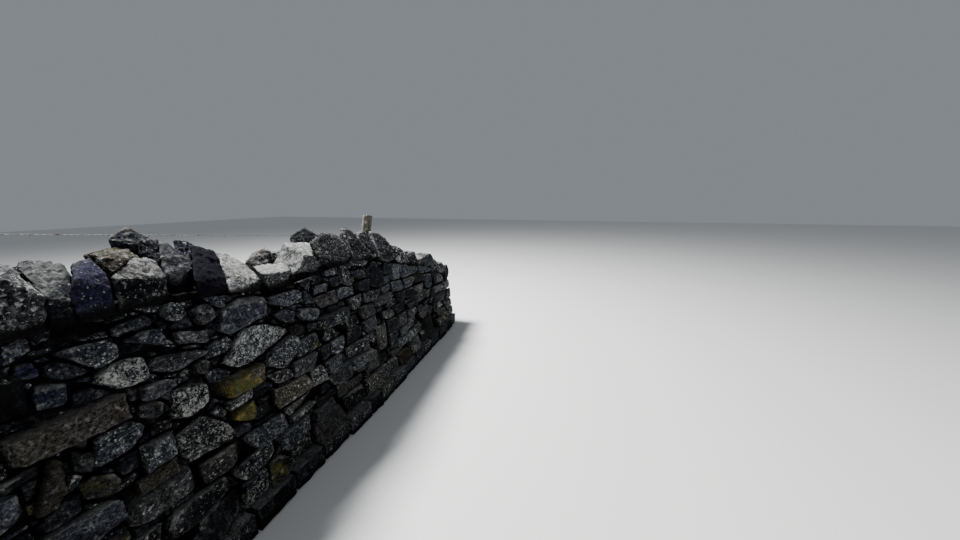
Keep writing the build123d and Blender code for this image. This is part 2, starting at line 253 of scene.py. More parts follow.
# Material tools: each takes numbers or sockets, and adds its node to the tree that the sockets are in
def addNode(tree, kind, inputs=None, **settings):
    node = tree.nodes.new(kind)
    for key, value in settings.items():
        setattr(node, key, value)
    for key, value in (inputs or {}).items():
        if isinstance(value, bpy.types.NodeSocket):
            tree.links.new(value, node.inputs[key])
        else:
            node.inputs[key].default_value = value
    return node


def treeOf(*values):
    return next(value.id_data for value in values if isinstance(value, bpy.types.NodeSocket))


def maths(operation, first, second=0.0, clamp=False):
    settings = {"operation": operation, "use_clamp": clamp}
    return addNode(treeOf(first, second), "ShaderNodeMath", {0: first, 1: second}, **settings).outputs[0]


def times(first, second, clamp=False):
    return maths("MULTIPLY", first, second, clamp)


def plus(first, second):
    return maths("ADD", first, second)


def vectorMaths(operation, first, second=(0, 0, 0), scale=None):
    inputs = {0: first, 1: second} if scale is None else {0: first, "Scale": scale}
    return addNode(first.id_data, "ShaderNodeVectorMath", inputs, operation=operation).outputs


def mixColor(share, first, second, blend="MIX"):
    colors = [(*color, 1) if isinstance(color, tuple) else color for color in (first, second)]
    settings = {"data_type": "RGBA", "blend_type": blend, "clamp_factor": True}
    inputs = {0: share, 6: colors[0], 7: colors[1]}
    return addNode(treeOf(share, first, second), "ShaderNodeMix", inputs, **settings).outputs[2]


def ramp(value, low, high, fromValue=0.0, toValue=1.0):
    inputs = {"Value": value, "From Min": low, "From Max": high, "To Min": fromValue, "To Max": toValue}
    return addNode(value.id_data, "ShaderNodeMapRange", inputs, interpolation_type="SMOOTHSTEP").outputs[0]


def noiseAt(place, scale, detail=4.0, roughness=0.6, distortion=0.0, result="Fac"):
    inputs = {"Vector": place, "Scale": scale, "Detail": detail, "Roughness": roughness}
    inputs["Distortion"] = distortion
    return addNode(place.id_data, "ShaderNodeTexNoise", inputs).outputs[result]


def stretchedNoise(place, scales, detail, roughness=0.6, distortion=0.0):
    return noiseAt(vectorMaths("MULTIPLY", place, scales)["Vector"], 1.0, detail, roughness, distortion)


def cellsAt(place, scale, feature="F1"):
    inputs = {"Vector": place, "Scale": scale}
    return addNode(place.id_data, "ShaderNodeTexVoronoi", inputs, feature=feature).outputs


def channels(color):
    return addNode(color.id_data, "ShaderNodeSeparateColor", {0: color}).outputs


def attributeOf(tree, name):
    return addNode(tree, "ShaderNodeAttribute", attribute_name=name).outputs


def newGroup(name, inputs, outputs):
    tree = bpy.data.node_groups.new(name, "ShaderNodeTree")
    for direction, sockets in (("INPUT", inputs), ("OUTPUT", outputs)):
        for label, kind in sockets.items():
            tree.interface.new_socket(label, in_out=direction, socket_type=f"NodeSocket{kind}")
    return tree, tree.nodes.new("NodeGroupInput").outputs, tree.nodes.new("NodeGroupOutput").inputs


def useGroup(tree, group, inputs):
    return addNode(tree, "ShaderNodeGroup", inputs, node_tree=group).outputs


def newMaterial(name, roughness=0.9, metallic=0.0):
    material = bpy.data.materials.new(name)
    material.use_nodes = True
    shader = material.node_tree.nodes["Principled BSDF"]
    shader.inputs["Roughness"].default_value = roughness
    shader.inputs["Metallic"].default_value = metallic
    return material, material.node_tree, shader.inputs


def addBump(tree, shader, height, distance):
    bump = addNode(tree, "ShaderNodeBump", {"Height": height, "Distance": distance})
    tree.links.new(bump.outputs[0], shader["Normal"])


# Lichen: round crusts with ragged rims
lichenCrust = {
    "ragScale": 2.2,  # how fine the rags of a rim are, and how far they reach, against the cells
    "ragReach": 1.1,
    "smallest": 0.64,  # radii against the crust's size
    "spread": 0.32,
    "softRim": 0.6,
}


def makeLichenGroup():
    # cells of a warped pattern, a share of them filled to a radius of their own
    inputs = {"Place": "Vector", "Scale": "Float", "Amount": "Float", "Size": "Float"}
    tree, given, out = newGroup("lichenCrust", inputs, {"Mask": "Float"})
    ragScale = times(given["Scale"], lichenCrust["ragScale"])
    rag = noiseAt(given["Place"], ragScale, 5.0, 0.7, result="Color")
    rag = vectorMaths("SUBTRACT", rag, (0.5, 0.5, 0.5))["Vector"]
    rag = vectorMaths("SCALE", rag, scale=maths("DIVIDE", lichenCrust["ragReach"], given["Scale"]))["Vector"]
    cells = cellsAt(vectorMaths("ADD", given["Place"], rag)["Vector"], given["Scale"])
    pick = channels(cells["Color"])
    there = maths("LESS_THAN", pick[0], given["Amount"])
    radius = plus(times(pick[1], lichenCrust["spread"]), lichenCrust["smallest"])
    radius = times(radius, given["Size"])
    filled = ramp(cells["Distance"], times(radius, lichenCrust["softRim"]), radius, 1.0, 0.0)
    tree.links.new(times(filled, there), out["Mask"])
    return tree


# Weathered limestone: the scales of its patterns, its colours, and its crusts and relief
limestone = {
    "broad": 7.0,
    "middle": 26.0,
    "fine": 110.0,
    "pores": 60.0,
    "bedding": (6.0, 6.0, 70.0),
    "darkBody": (0.01, 0.0125, 0.019),
    "greyBody": (0.05, 0.056, 0.072),
    "lightMottle": (0.25, 0.262, 0.262),
    "beddingLine": (0.09, 0.09, 0.098),
    "warmTint": (0.17, 0.135, 0.085),
    "coolTint": (0.037, 0.032, 0.095),
    "speck": (0.3, 0.32, 0.295),
    # painted light: the colours of the lit tops and upper arrises, cool and warm
    "coolLitTop": (0.58, 0.58, 0.55),
    "warmLitTop": (0.66, 0.61, 0.49),
    "crack": (0.012, 0.012, 0.013),
    "algae": (0.045, 0.047, 0.05),
    "oldCrust": (0.2, 0.22, 0.2),
    "freshCrust": (0.62, 0.64, 0.6),
    "darkMoss": (0.022, 0.026, 0.009),
    "lightMoss": (0.12, 0.115, 0.03),
    "gold": (0.27, 0.21, 0.055),
    # painted shade deep in the joints and towards the foot of a stone
    "paintedShade": (0.004, 0.004, 0.004),
    "crusts": (  # scale, lichen from which they start, how common they are and how large
        (13.0, 0.45, 0.8, 0.9),
        (40.0, 0.15, 0.45, 1.0),
        (120.0, 0.1, 0.6, 1.0),
    ),
    "goldCrusts": (17.0, 0.4, 1.4, 1.1),
    "relief": {"middle": 0.55, "fine": 0.35, "bedding": 0.5, "pores": 0.4, "crusts": 0.12, "cracks": -0.3},
}


def stonePatterns(place):
    return {
        "broad": noiseAt(place, limestone["broad"], 5.0, 0.62),
        "middle": noiseAt(place, limestone["middle"], 5.0, 0.7),
        "fine": noiseAt(place, limestone["fine"], 4.0, 0.75),
        "pores": noiseAt(place, limestone["pores"], 6.0, 0.8, 0.3),
        "bedding": stretchedNoise(place, limestone["bedding"], 4.0, 0.65, 0.4),
    }


def bodyColor(given, patterns):
    # cool dark to mid grey, then the stone's own tint and tone, and pits that stay dark
    color = mixColor(ramp(patterns["broad"], 0.32, 0.68), limestone["darkBody"], limestone["greyBody"])
    color = mixColor(ramp(patterns["middle"], 0.48, 0.74), color, limestone["lightMottle"])
    color = mixColor(ramp(patterns["bedding"], 0.52, 0.7, 0.0, 0.35), color, limestone["beddingLine"])
    color = mixColor(times(given["Warm"], 0.65), color, limestone["warmTint"])
    color = mixColor(times(given["Cool"], 0.75), color, limestone["coolTint"])
    color = mixColor(1.0, color, times(given["Tone"], 2.0), "MULTIPLY")
    return mixColor(1.0, color, ramp(patterns["pores"], 0.4, 0.6, 0.1, 1.35), "MULTIPLY")


def addSpecks(color, given, patterns):
    # pale specks on the high spots of the grain, in clusters, few on dark stones
    speck = times(ramp(patterns["pores"], 0.56, 0.68), plus(times(given["Lichen"], 0.75), 0.5))
    speck = times(speck, ramp(patterns["broad"], 0.45, 0.62, 0.05, 1.0))
    return mixColor(times(speck, given["Clean"]), color, limestone["speck"])


def addPaintedTopLight(color, given, patterns):
    # painted light: paler where the surface faces the sky, and painted highlights along the upper arrises
    sky = plus(plus(given["Up"], times(patterns["middle"], 0.5)), times(given["Pale"], 0.3))
    arrisHighlight = times(given["Edge"], ramp(patterns["middle"], 0.4, 0.6, 0.0, 0.9))
    arrisHighlight = times(arrisHighlight, ramp(given["Up"], 0.1, 0.5, 0.2, 1.0))
    bleach = times(maths("MAXIMUM", ramp(sky, 1.07, 1.33), arrisHighlight), given["Bleach"], True)
    tint = mixColor(given["Warm"], limestone["coolLitTop"], limestone["warmLitTop"])
    tint = mixColor(ramp(patterns["fine"], 0.35, 0.65), mixColor(0.7, tint, color), tint)
    tint = mixColor(1.0, tint, ramp(patterns["middle"], 0.36, 0.6, 0.5, 1.0), "MULTIPLY")
    return mixColor(times(bleach, given["Pale"]), color, tint)


def crackMask(given, patterns):
    # fine cracks, where cells of a warped pattern meet
    bend = noiseAt(given["Place"], 14.0, 3.0, result="Color")
    bend = vectorMaths("SCALE", bend, scale=0.06)["Vector"]
    rims = cellsAt(vectorMaths("ADD", given["Place"], bend)["Vector"], 9.0, "DISTANCE_TO_EDGE")
    return times(ramp(rims["Distance"], 0.0, 0.035, 1.0, 0.0), ramp(patterns["broad"], 0.46, 0.6))


def crustOf(tree, given, lichenGroup, strength, kind):
    # lichen of one kind, where the stone's own amount of it passes the start
    scale, start, share, size = kind
    amount = times(maths("SUBTRACT", strength, start, True), share)
    crust = {"Place": given["Place"], "Scale": scale, "Amount": amount, "Size": size}
    return useGroup(tree, lichenGroup, crust)["Mask"]


def crustMask(tree, given, patterns, lichenGroup):
    # white crusts in three sizes, none deep in the joints, worn thin where the stone is porous
    masks = [crustOf(tree, given, lichenGroup, given["Lichen"], kind) for kind in limestone["crusts"]]
    crusts = maths("MAXIMUM", maths("MAXIMUM", masks[0], masks[1]), masks[2])
    crusts = times(crusts, ramp(given["Deep"], 0.15, 0.7, 1.0, 0.0))
    crusts = times(crusts, ramp(patterns["pores"], 0.38, 0.54, 0.15, 1.0))
    return times(crusts, plus(times(given["Clean"], 0.6), 0.4))


def addMoss(color, tree, given, patterns, lichenGroup):
    field = plus(patterns["broad"], times(given["Moss"], 0.5))
    moss = ramp(plus(field, times(given["Up"], 0.04)), 0.68, 0.86)
    tint = mixColor(ramp(patterns["fine"], 0.35, 0.65), limestone["darkMoss"], limestone["lightMoss"])
    color = mixColor(times(moss, 0.85), color, tint)
    gold = crustOf(tree, given, lichenGroup, given["Moss"], limestone["goldCrusts"])
    gold = times(gold, ramp(patterns["pores"], 0.42, 0.6, 0.05, 0.75))
    return mixColor(gold, color, limestone["gold"])


def makeLimestoneGroup(lichenGroup):
    # weathered limestone: mottled body, painted light on the tops and painted highlights on the upper
    # arrises, crusts, moss, and painted shade deep in the joints
    values = ("Tone", "Lichen", "Moss", "Warmth", "Edge", "Deep", "Up", "Bleach", "Pale")
    inputs = {"Place": "Vector", **{value: "Float" for value in values}}
    outputs = {"Color": "Color", "Roughness": "Float", "Height": "Float"}
    tree, sockets, out = newGroup("weatheredLimestone", inputs, outputs)
    given = {label: sockets[label] for label in inputs}
    given["Warm"] = ramp(given["Warmth"], 0.5, 1.0)
    given["Cool"] = ramp(given["Warmth"], 0.0, 0.42, 1.0, 0.0)
    given["Clean"] = ramp(given["Tone"], 0.06, 0.32, 0.1, 1.0)  # how far a stone is from the darkest ones
    patterns = stonePatterns(given["Place"])
    color = bodyColor(given, patterns)
    color = addSpecks(color, given, patterns)
    color = addPaintedTopLight(color, given, patterns)
    cracks = crackMask(given, patterns)
    color = mixColor(times(cracks, 0.8), color, limestone["crack"])
    freckle = times(ramp(patterns["fine"], 0.56, 0.68), ramp(patterns["broad"], 0.4, 0.6))
    color = mixColor(times(freckle, 0.7), color, limestone["algae"])
    crusts = crustMask(tree, given, patterns, lichenGroup)
    crustColor = mixColor(ramp(patterns["pores"], 0.4, 0.6), limestone["oldCrust"], limestone["freshCrust"])
    color = mixColor(times(crusts, 0.85), color, crustColor)
    color = addMoss(color, tree, given, patterns, lichenGroup)
    # painted shade: darker the deeper a point lies in the joints
    paintedShade = ramp(plus(given["Deep"], times(patterns["middle"], 0.3)), 0.16, 0.75)
    tree.links.new(mixColor(times(paintedShade, 0.96), color, limestone["paintedShade"]), out["Color"])
    roughness = maths("SUBTRACT", ramp(patterns["middle"], 0.3, 0.7, 0.82, 0.98), times(given["Cool"], 0.08))
    tree.links.new(roughness, out["Roughness"])
    # relief as a share of the bump's distance: grain, bedding lines, pores, raised crusts and cracks
    patterns.update({"crusts": crusts, "cracks": cracks})
    relief = [times(patterns[key], share) for key, share in limestone["relief"].items()]
    height = relief[0]
    for layer in relief[1:]:
        height = plus(height, layer)
    tree.links.new(height, out["Height"])
    return tree


# Stone finishes: how strong the painted light on the tops is, how strong the relief is, and how light the
# whole is
stoneFinishes = {
    "face_stone": {"bleach": 0.9, "relief": 0.026, "tone": 1.35},
    "cope_stone": {"bleach": 1.0, "relief": 0.034, "tone": 1.0},
    "through_stone": {"bleach": 0.7, "relief": 0.024, "tone": 0.95},
    "footing_stone": {"bleach": 0.6, "relief": 0.026, "tone": 0.8},
}
heartingFinish = {
    "rubble": 14.0,
    "tone": (0.2, 0.45),
    "relief": 0.02,
    "plain": {"Lichen": 0.0, "Edge": 0.0, "Up": 0.0, "Bleach": 0.0, "Pale": 0.0},
    "stones": {"Moss": 0.1, "Warmth": 0.55},
}


def makeStoneMaterial(name, finish):
    material, tree, shader = newMaterial(name)
    shader["Specular IOR Level"].default_value = 0.04
    # the second attribute carries each point's arris, depth, upward share and paleness, for painted
    # highlights, painted shade and painted top light
    look, wear = attributeOf(tree, "stoneLook"), attributeOf(tree, "stoneLightAndShade")
    looks, lightShadeChannels = channels(look["Color"]), channels(wear["Color"])
    inputs = {"Place": attributeOf(tree, "stonePlace")["Vector"], "Tone": times(looks[0], finish["tone"])}
    inputs.update({"Lichen": looks[1], "Moss": looks[2], "Warmth": look["Alpha"], "Bleach": finish["bleach"]})
    inputs.update({"Edge": lightShadeChannels[0], "Deep": lightShadeChannels[1], "Up": lightShadeChannels[2], "Pale": wear["Alpha"]})
    stone = useGroup(tree, limestoneGroup, inputs)
    tree.links.new(stone["Color"], shader["Base Color"])
    tree.links.new(stone["Roughness"], shader["Roughness"])
    addBump(tree, shader, stone["Height"], finish["relief"])
    return material


def makeHeartingMaterial():
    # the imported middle, seen only down the joints: the same stone broken small, on the object's own place
    material, tree, shader = newMaterial("packedHearting")
    place = addNode(tree, "ShaderNodeTexCoord").outputs["Object"]
    cells = cellsAt(place, heartingFinish["rubble"], "SMOOTH_F1")
    inputs = {"Place": place, "Tone": ramp(channels(cells["Color"])[0], 0.0, 1.0, *heartingFinish["tone"])}
    # painted shade between the rubble pieces
    inputs["Deep"] = ramp(cells["Distance"], 0.2, 0.6)
    inputs.update({**heartingFinish["plain"], **heartingFinish["stones"]})
    stone = useGroup(tree, limestoneGroup, inputs)
    tree.links.new(stone["Color"], shader["Base Color"])
    tree.links.new(stone["Roughness"], shader["Roughness"])
    height = maths("SUBTRACT", stone["Height"], times(cells["Distance"], 3.0))
    addBump(tree, shader, height, heartingFinish["relief"])
    return material


lichenGroup = makeLichenGroup()
limestoneGroup = makeLimestoneGroup(lichenGroup)
stoneMaterials = {name: makeStoneMaterial(name, finish) for name, finish in stoneFinishes.items()}
print("stone materials made")


# Stones: each is a bundle of planes round a middle, rounded where they meet and roughened by noise
stoneSurface = {
    "noPlane": 1e3,  # reach of a plane that isn't there
    "lumpTurns": 0.9,  # how often the noise turns: lumps over the stone's size, grit and bends over a metre
    "gritTurns": 24,
    "bendTurns": 5,
    "bend": 1.4,  # of the bedding, in layers
    "layerSharpness": 1.5,
    "midDepth": 0.5,
    "noiseShare": 0.6,
    "deepestLump": 1.3,
    "deepestGrit": 1.4,
    "gritFrom": 8,  # steps from which a stone is fine enough for grit and layers
    "arrisPower": 12,
    "arrisGain": 5,
    "arrisStart": 0.1,
}


def gather(stones, key):
    return np.array([stone[key] for stone in stones])


def planeBundle(stones, rays):
    # along a direction d the surface lies at d over the p-norm of (normal . d / reach) of all the planes
    most = max(len(stone["reaches"]) for stone in stones)
    normals = np.zeros((len(stones), most, 3))
    reaches = np.full((len(stones), most), stoneSurface["noPlane"])
    for index, stone in enumerate(stones):
        normals[index, :len(stone["reaches"])] = stone["normals"]
        reaches[index, :len(stone["reaches"])] = stone["reaches"]
    crisp = gather(stones, "crisp")[:, None]
    terms = np.maximum(np.einsum("svj,spj->svp", rays, normals) / reaches[:, None], 0)
    largest = terms.max(-1)
    shares = terms / largest[..., None]
    total = (shares ** crisp[..., None]).sum(-1)
    points = rays / (largest * total ** (1 / crisp))[..., None]
    outward = np.einsum("svp,spj->svj", shares ** (crisp[..., None] - 1), normals / reaches[..., None])
    outward /= np.linalg.norm(outward, axis=-1)[..., None]
    # an arris is where planes of unlike directions share a point: their mean normal is shorter there
    weights = shares ** stoneSurface["arrisPower"]
    meanNormal = np.einsum("svp,spj->svj", weights, normals) / weights.sum(-1)[..., None]
    shortness = 1 - np.linalg.norm(meanNormal, axis=-1)
    edge = np.clip(shortness * stoneSurface["arrisGain"] - stoneSurface["arrisStart"], 0, 1)
    return points, outward, edge


def wornDepth(stones, place, shift, size, fine):
    # depth = lumps x size x (broad noise - swell / 2) + grit x (fine noise - swell / 2), and then
    # layers x a zigzag of the level along the bedding over the layer's size
    lumps, grit, layers, layerSize, swell = [
        gather(stones, key)[:, None] for key in ("lumps", "grit", "layers", "layerSize", "swell")
    ]
    work = stoneSurface
    lumpPlace = place / size[..., None] * work["lumpTurns"] + shift
    lumpField = work["midDepth"] - work["noiseShare"] * layeredNoise(lumpPlace, 3)
    inward = lumps * size * (np.clip(lumpField, 0, work["deepestLump"]) - swell / 2)
    if fine:
        gritNoise = layeredNoise(place * work["gritTurns"] + shift, 2)
        gritField = work["midDepth"] - work["noiseShare"] * gritNoise
        inward += grit * (np.clip(gritField, 0, work["deepestGrit"]) - swell / 2)
        level = place[..., 2] / layerSize + work["bend"] * smoothNoise(place * work["bendTurns"] + shift)
        inward += layers * np.abs((level % 1) * 2 - 1) ** work["layerSharpness"]
    return inward


def shapeStones(stones, steps):
    # point = middle + surface point - outward normal x worn depth, with the values for the material
    lattice, quads = boxLattice(steps)
    axes, halves = gather(stones, "axes"), gather(stones, "half")
    rays = np.einsum("svk,skj->svj", lattice[None] * halves[:, None], axes)
    points, outward, edge = planeBundle(stones, rays)
    place = np.einsum("svj,skj->svk", points, axes)
    shift, size = gather(stones, "shift")[:, None], halves.mean(-1)[:, None]
    inward = wornDepth(stones, place, shift, size, steps[0] > stoneSurface["gritFrom"])
    points = points - outward * inward[..., None] + gather(stones, "middle")[:, None]
    # how deep each point lies behind the stone's surface plane: for the painted shade, and to keep crusts out
    # of the joints
    surfaceHeight = np.einsum("svj,sj->sv", points, gather(stones, "surface"))
    sunk = gather(stones, "surfaceReach")[:, None] - surfaceHeight
    deep = np.clip(sunk / gather(stones, "surfaceDepth")[:, None], 0, 1)
    pale = np.ones(points.shape[:2]) * gather(stones, "pale")[:, None]
    arrays = {
        "stonePlace": place + shift,
        "stoneLook": np.broadcast_to(gather(stones, "look")[:, None], points.shape[:2] + (4,)),
        # arris, depth, upward share and paleness: for the painted highlights, the painted shade and the
        # painted light on the tops
        "stoneLightAndShade": np.stack([edge, deep, np.clip(outward[..., 2], 0, 1), pale], -1),
    }
    faces = quads[None] + (np.arange(len(stones)) * len(lattice))[:, None, None]
    values = {key: array.reshape(-1, array.shape[-1]) for key, array in arrays.items()}
    return points.reshape(-1, 3), faces.reshape(-1, 4), values


def stonePiece(name, stones, finish, standsFor):
    # stones of like fineness are shaped together, and all of them joined into one piece
    points, faces, attributes, offset = [], [], [], 0
    for steps in sorted({stone["steps"] for stone in stones}):
        group = [stone for stone in stones if stone["steps"] == steps]
        newPoints, newFaces, values = shapeStones(group, steps)
        points.append(newPoints)
        faces.append(newFaces + offset)
        attributes.append(values)
        offset += len(newPoints)
    joined = {key: np.concatenate([part[key] for part in attributes]) for key in attributes[0]}
    points = np.clip(np.concatenate(points), *cadBounds)  # bulges at the ends stay inside the object's box
    faces = [np.concatenate(faces)]
    buildPiece(name, points, faces, stoneMaterials[finish], standsFor, joined)


def newStone(middle, axes, half, planes, steps, surface):
    # a bundle of planes, each a normal and its reach from the middle, and from where painted shade starts on
    # it
    stone = {"middle": middle, "axes": axes, "half": half, "steps": steps}
    stone["normals"] = [normal for normal, reach in planes]
    stone["reaches"] = [reach for normal, reach in planes]
    stone["surface"], stone["surfaceReach"], stone["surfaceDepth"] = surface
    return stone


def reachesFrom(middle, planes, least):
    # planes given by a normal and a point each, as normals and reaches
    return [(normal, max((point - middle) @ normal, least)) for normal, point in planes]


# What a stone is like where nothing is said about it
usualStone = {
    "shift": 60,  # its noise and grain are moved by up to so many metres
    # how strongly the painted light on its top and upper arrises shows
    "pale": (0.3, 0.9),
    "crisp": (30, 100),  # the power of its p-norm: sharp arrises where it is high
    "lumps": (0.03, 0.12),
    "layers": (0, 0, 0.003, 0.006),
    "layerSize": (0.025, 0.06),
    "swell": 0.5,
    "grit": 0.008,
    "tone": (0.08, 0.72),
    "lichen": (1.1, 3.4),  # of a beta distribution, as the moss
    "mostLichen": 0.75,
    "moss": (0.7, 8),
    "warmth": (0.5, 0.09),
}


def stoneLook(dice, tone=None, lichen=None, moss=None, warmth=None):
    # each value drawn where the style gives none
    tone = float(dice.uniform(*usualStone["tone"])) if tone is None else tone
    if lichen is None:
        lichen = float(dice.beta(*usualStone["lichen"])) * usualStone["mostLichen"]
    moss = float(dice.beta(*usualStone["moss"])) if moss is None else moss
    warmth = float(dice.normal(*usualStone["warmth"])) if warmth is None else warmth
    return (tone, lichen, moss, min(max(warmth, 0), 1))


def finishStone(stone, dice, style):
    # what every stone has besides its planes: from its style, or else drawn at random
    stone["shift"] = dice.uniform(0, usualStone["shift"], 3)
    usual = {key: dice.uniform(*usualStone[key]) for key in ("pale", "crisp", "lumps")}
    usual["layers"] = dice.choice(usualStone["layers"])
    usual["layerSize"] = dice.uniform(*usualStone["layerSize"])
    usual.update({key: usualStone[key] for key in ("swell", "grit")})
    stone.update({key: style.get(key, value) for key, value in usual.items()})
    stone["look"] = stoneLook(dice, *[style.get(key) for key in ("tone", "lichen", "moss", "warmth")])
    return stone


# Polygons on a face, as few corners in order, anticlockwise
polygonWork = {
    "noEdge": 1e-6,  # shorter than this, an edge has no direction
    "tiny": 1e-9,
    "tinySquare": 1e-12,
    "onTop": 0.004,  # a middle this close to a stone lies on it
    "chipChance": 0.45,
    "chipTurn": 0.35,
    "chipKeeps": (0.8, 0.97),
}


def polygonArea(corners):
    x, z = corners[:, 0], corners[:, 1]
    return 0.5 * float(np.sum(x * np.roll(z, -1) - np.roll(x, -1) * z))


def polygonMiddle(corners):
    following = np.roll(corners, -1, axis=0)
    cross = corners[:, 0] * following[:, 1] - following[:, 0] * corners[:, 1]
    return ((corners + following) * cross[:, None]).sum(0) / (3 * cross.sum())


def rectangle(low, high):
    return np.array([(low[0], low[1]), (high[0], low[1]), (high[0], high[1]), (low[0], high[1])])


def cutPolygon(corners, normal, reach):
    # keeps the side where normal . point is under reach
    excess = corners @ normal - reach
    kept = []
    for index, corner in enumerate(corners):
        following = (index + 1) % len(corners)
        here, there = excess[index], excess[following]
        if here <= 0:
            kept.append(corner)
        if here * there < 0:
            kept.append(corner + (corners[following] - corner) * here / (here - there))
    return np.array(kept).reshape(-1, 2)


def polygonEdges(corners):
    # outward normals of the edges, their reaches from the origin, and their lengths
    along = np.roll(corners, -1, axis=0) - corners
    lengths = np.maximum(np.linalg.norm(along, axis=1), polygonWork["tiny"])
    normals = np.stack([along[:, 1], -along[:, 0]], 1) / lengths[:, None]
    return normals, (normals * corners).sum(1), lengths


def insetPolygon(corners, gap):
    # the outline with every edge moved in by the gap
    result = corners
    for normal, reach, length in zip(*polygonEdges(corners)):
        if length > polygonWork["noEdge"] and len(result) > 2:
            result = cutPolygon(result, normal, reach - gap)
    return result


def turnAt(before, corner, after):
    # above 0 where the line turns left at the corner
    return np.cross(corner - before, after - corner)


def hullPolygon(points):
    # convex outline of a few points, anticlockwise
    points = np.array(sorted(map(tuple, points)))
    chains = []
    for ordered in (points, points[::-1]):
        chain = []
        for point in ordered:
            while len(chain) > 1 and turnAt(*chain[-2:], point) <= polygonWork["tiny"]:
                chain.pop()
            chain.append(point)
        chains += chain[:-1]
    return np.array(chains)


def nearestOn(corners, point):
    # the outline's place that lies nearest to the point
    along = np.roll(corners, -1, axis=0) - corners
    squares = np.maximum((along * along).sum(1), polygonWork["tinySquare"])
    share = ((point - corners) * along).sum(1) / squares
    spots = corners + along * np.clip(share, 0, 1)[:, None]
    return spots[np.argmin(np.linalg.norm(spots - point, axis=1))]


def signedDistance(corners, points):
    # how far points lie outside the outline's edges, and below 0 inside all of them
    normals, reaches, lengths = polygonEdges(corners)
    keep = lengths > polygonWork["noEdge"]
    return (points @ normals[keep].T - reaches[keep]).max(-1)


def farApart(cell, other):
    return (other.min(0) > cell.max(0)).any() or (other.max(0) < cell.min(0)).any()


def cutBack(cell, other, spot):
    # cuts a cell along the line square to the other's nearest point, seen from a spot in the cell
    near = nearestOn(other, spot)
    normal = unit(near - spot)
    return cutPolygon(cell, normal, normal @ near)


def clearOf(cell, others):
    # what is left of a cell beside the stones laid before it
    for other in others:
        if len(cell) < 3:
            return cell
        if farApart(cell, other):
            continue
        middle = polygonMiddle(cell)
        if signedDistance(other, middle[None])[0] <= polygonWork["onTop"]:
            return cell[:0]
        cell = cutBack(cell, other, middle)
    return cell


def chipCorners(cell, dice):
    # random corners knocked off
    middle = polygonMiddle(cell)
    for corner in list(cell):
        if dice.random() < polygonWork["chipChance"] and len(cell) > 2:
            out = corner - middle
            normal = unit(out + dice.normal(0, polygonWork["chipTurn"], 2) * np.linalg.norm(out))
            reach = normal @ middle + normal @ out * dice.uniform(*polygonWork["chipKeeps"])
            cell = cutPolygon(cell, normal, reach)
    return cell


# Courses of the faces, in metres
courseWork = {
    "seed": 40,
    "lowCourse": 0.2,
    "highCourse": 0.125,
    "courseSpread": 0.16,  # how much a course's height varies, as a share
    "thinning": 0.45,  # how far courses thin where the wall is lower
    "firstJoint": 0.2,
    "endRoom": 0.02,
    "shortest": 0.15,
    "longest": 0.43,
    "lowLonger": 1.2,  # stones are this much longer at the foot, and by so much less at the top
    "topShorter": 0.45,
    "jointLean": 0.22,
    "bondOverlap": 0.05,
    "bondShift": 1.2,  # of a joint that would stand over another, in overlaps
    "waves": (0.014, 3.3, 8.1, 0.7),  # height, two frequencies and the second wave's share
    "phases": (0, 6.3),
    "jumperShare": 0.13,  # stones two courses high
    "splitShare": 0.16,  # places with two thin stones, one on the other
    "splitPlace": 0.2,
    "splitLean": 0.12,
    "thinnestTopCourse": 0.065,
    "overTheTop": 0.01,
    "jointGap": 0.0045,
    "smallestStone": 0.0032,  # square metres
    "thinnestStone": 0.04,
    "footShade": 0.7,  # painted shade: how much darker the stones are at the foot than at the top
}
pinWork = {
    "most": 420,
    "step": 0.0125,
    "clearance": 0.0095,
    "box": (0.11, 0.062),
    "reach": 0.2,
    "smallest": 0.0003,  # square metres
}


def bedLines(dice):
    # heights of the beds where the wall is highest, closer together towards the top
    levels, level = [body["footTop"]], body["footTop"]
    spread = courseWork["courseSpread"]
    while level < topHeights.max():
        share = (level - body["footTop"]) / (topHeights.max() - body["footTop"])
        height = courseWork["lowCourse"] * (1 - share) + courseWork["highCourse"] * share
        level += height * dice.uniform(1 - spread, 1 + spread)
        levels.append(level)
    return levels


def bedAt(levels, phases, course, x):
    # height = foot + (level - foot) x (top / highest top) ^ thinning + two waves along the wall
    thin = (topAt(x) / topHeights.max()) ** courseWork["thinning"]
    size, often, oftener, share = courseWork["waves"]
    wave = math.sin(often * x + phases[course]) + share * math.sin(oftener * x + 2 * phases[course])
    return body["footTop"] + (levels[course] - body["footTop"]) * thin + size * (wave if course else 0)


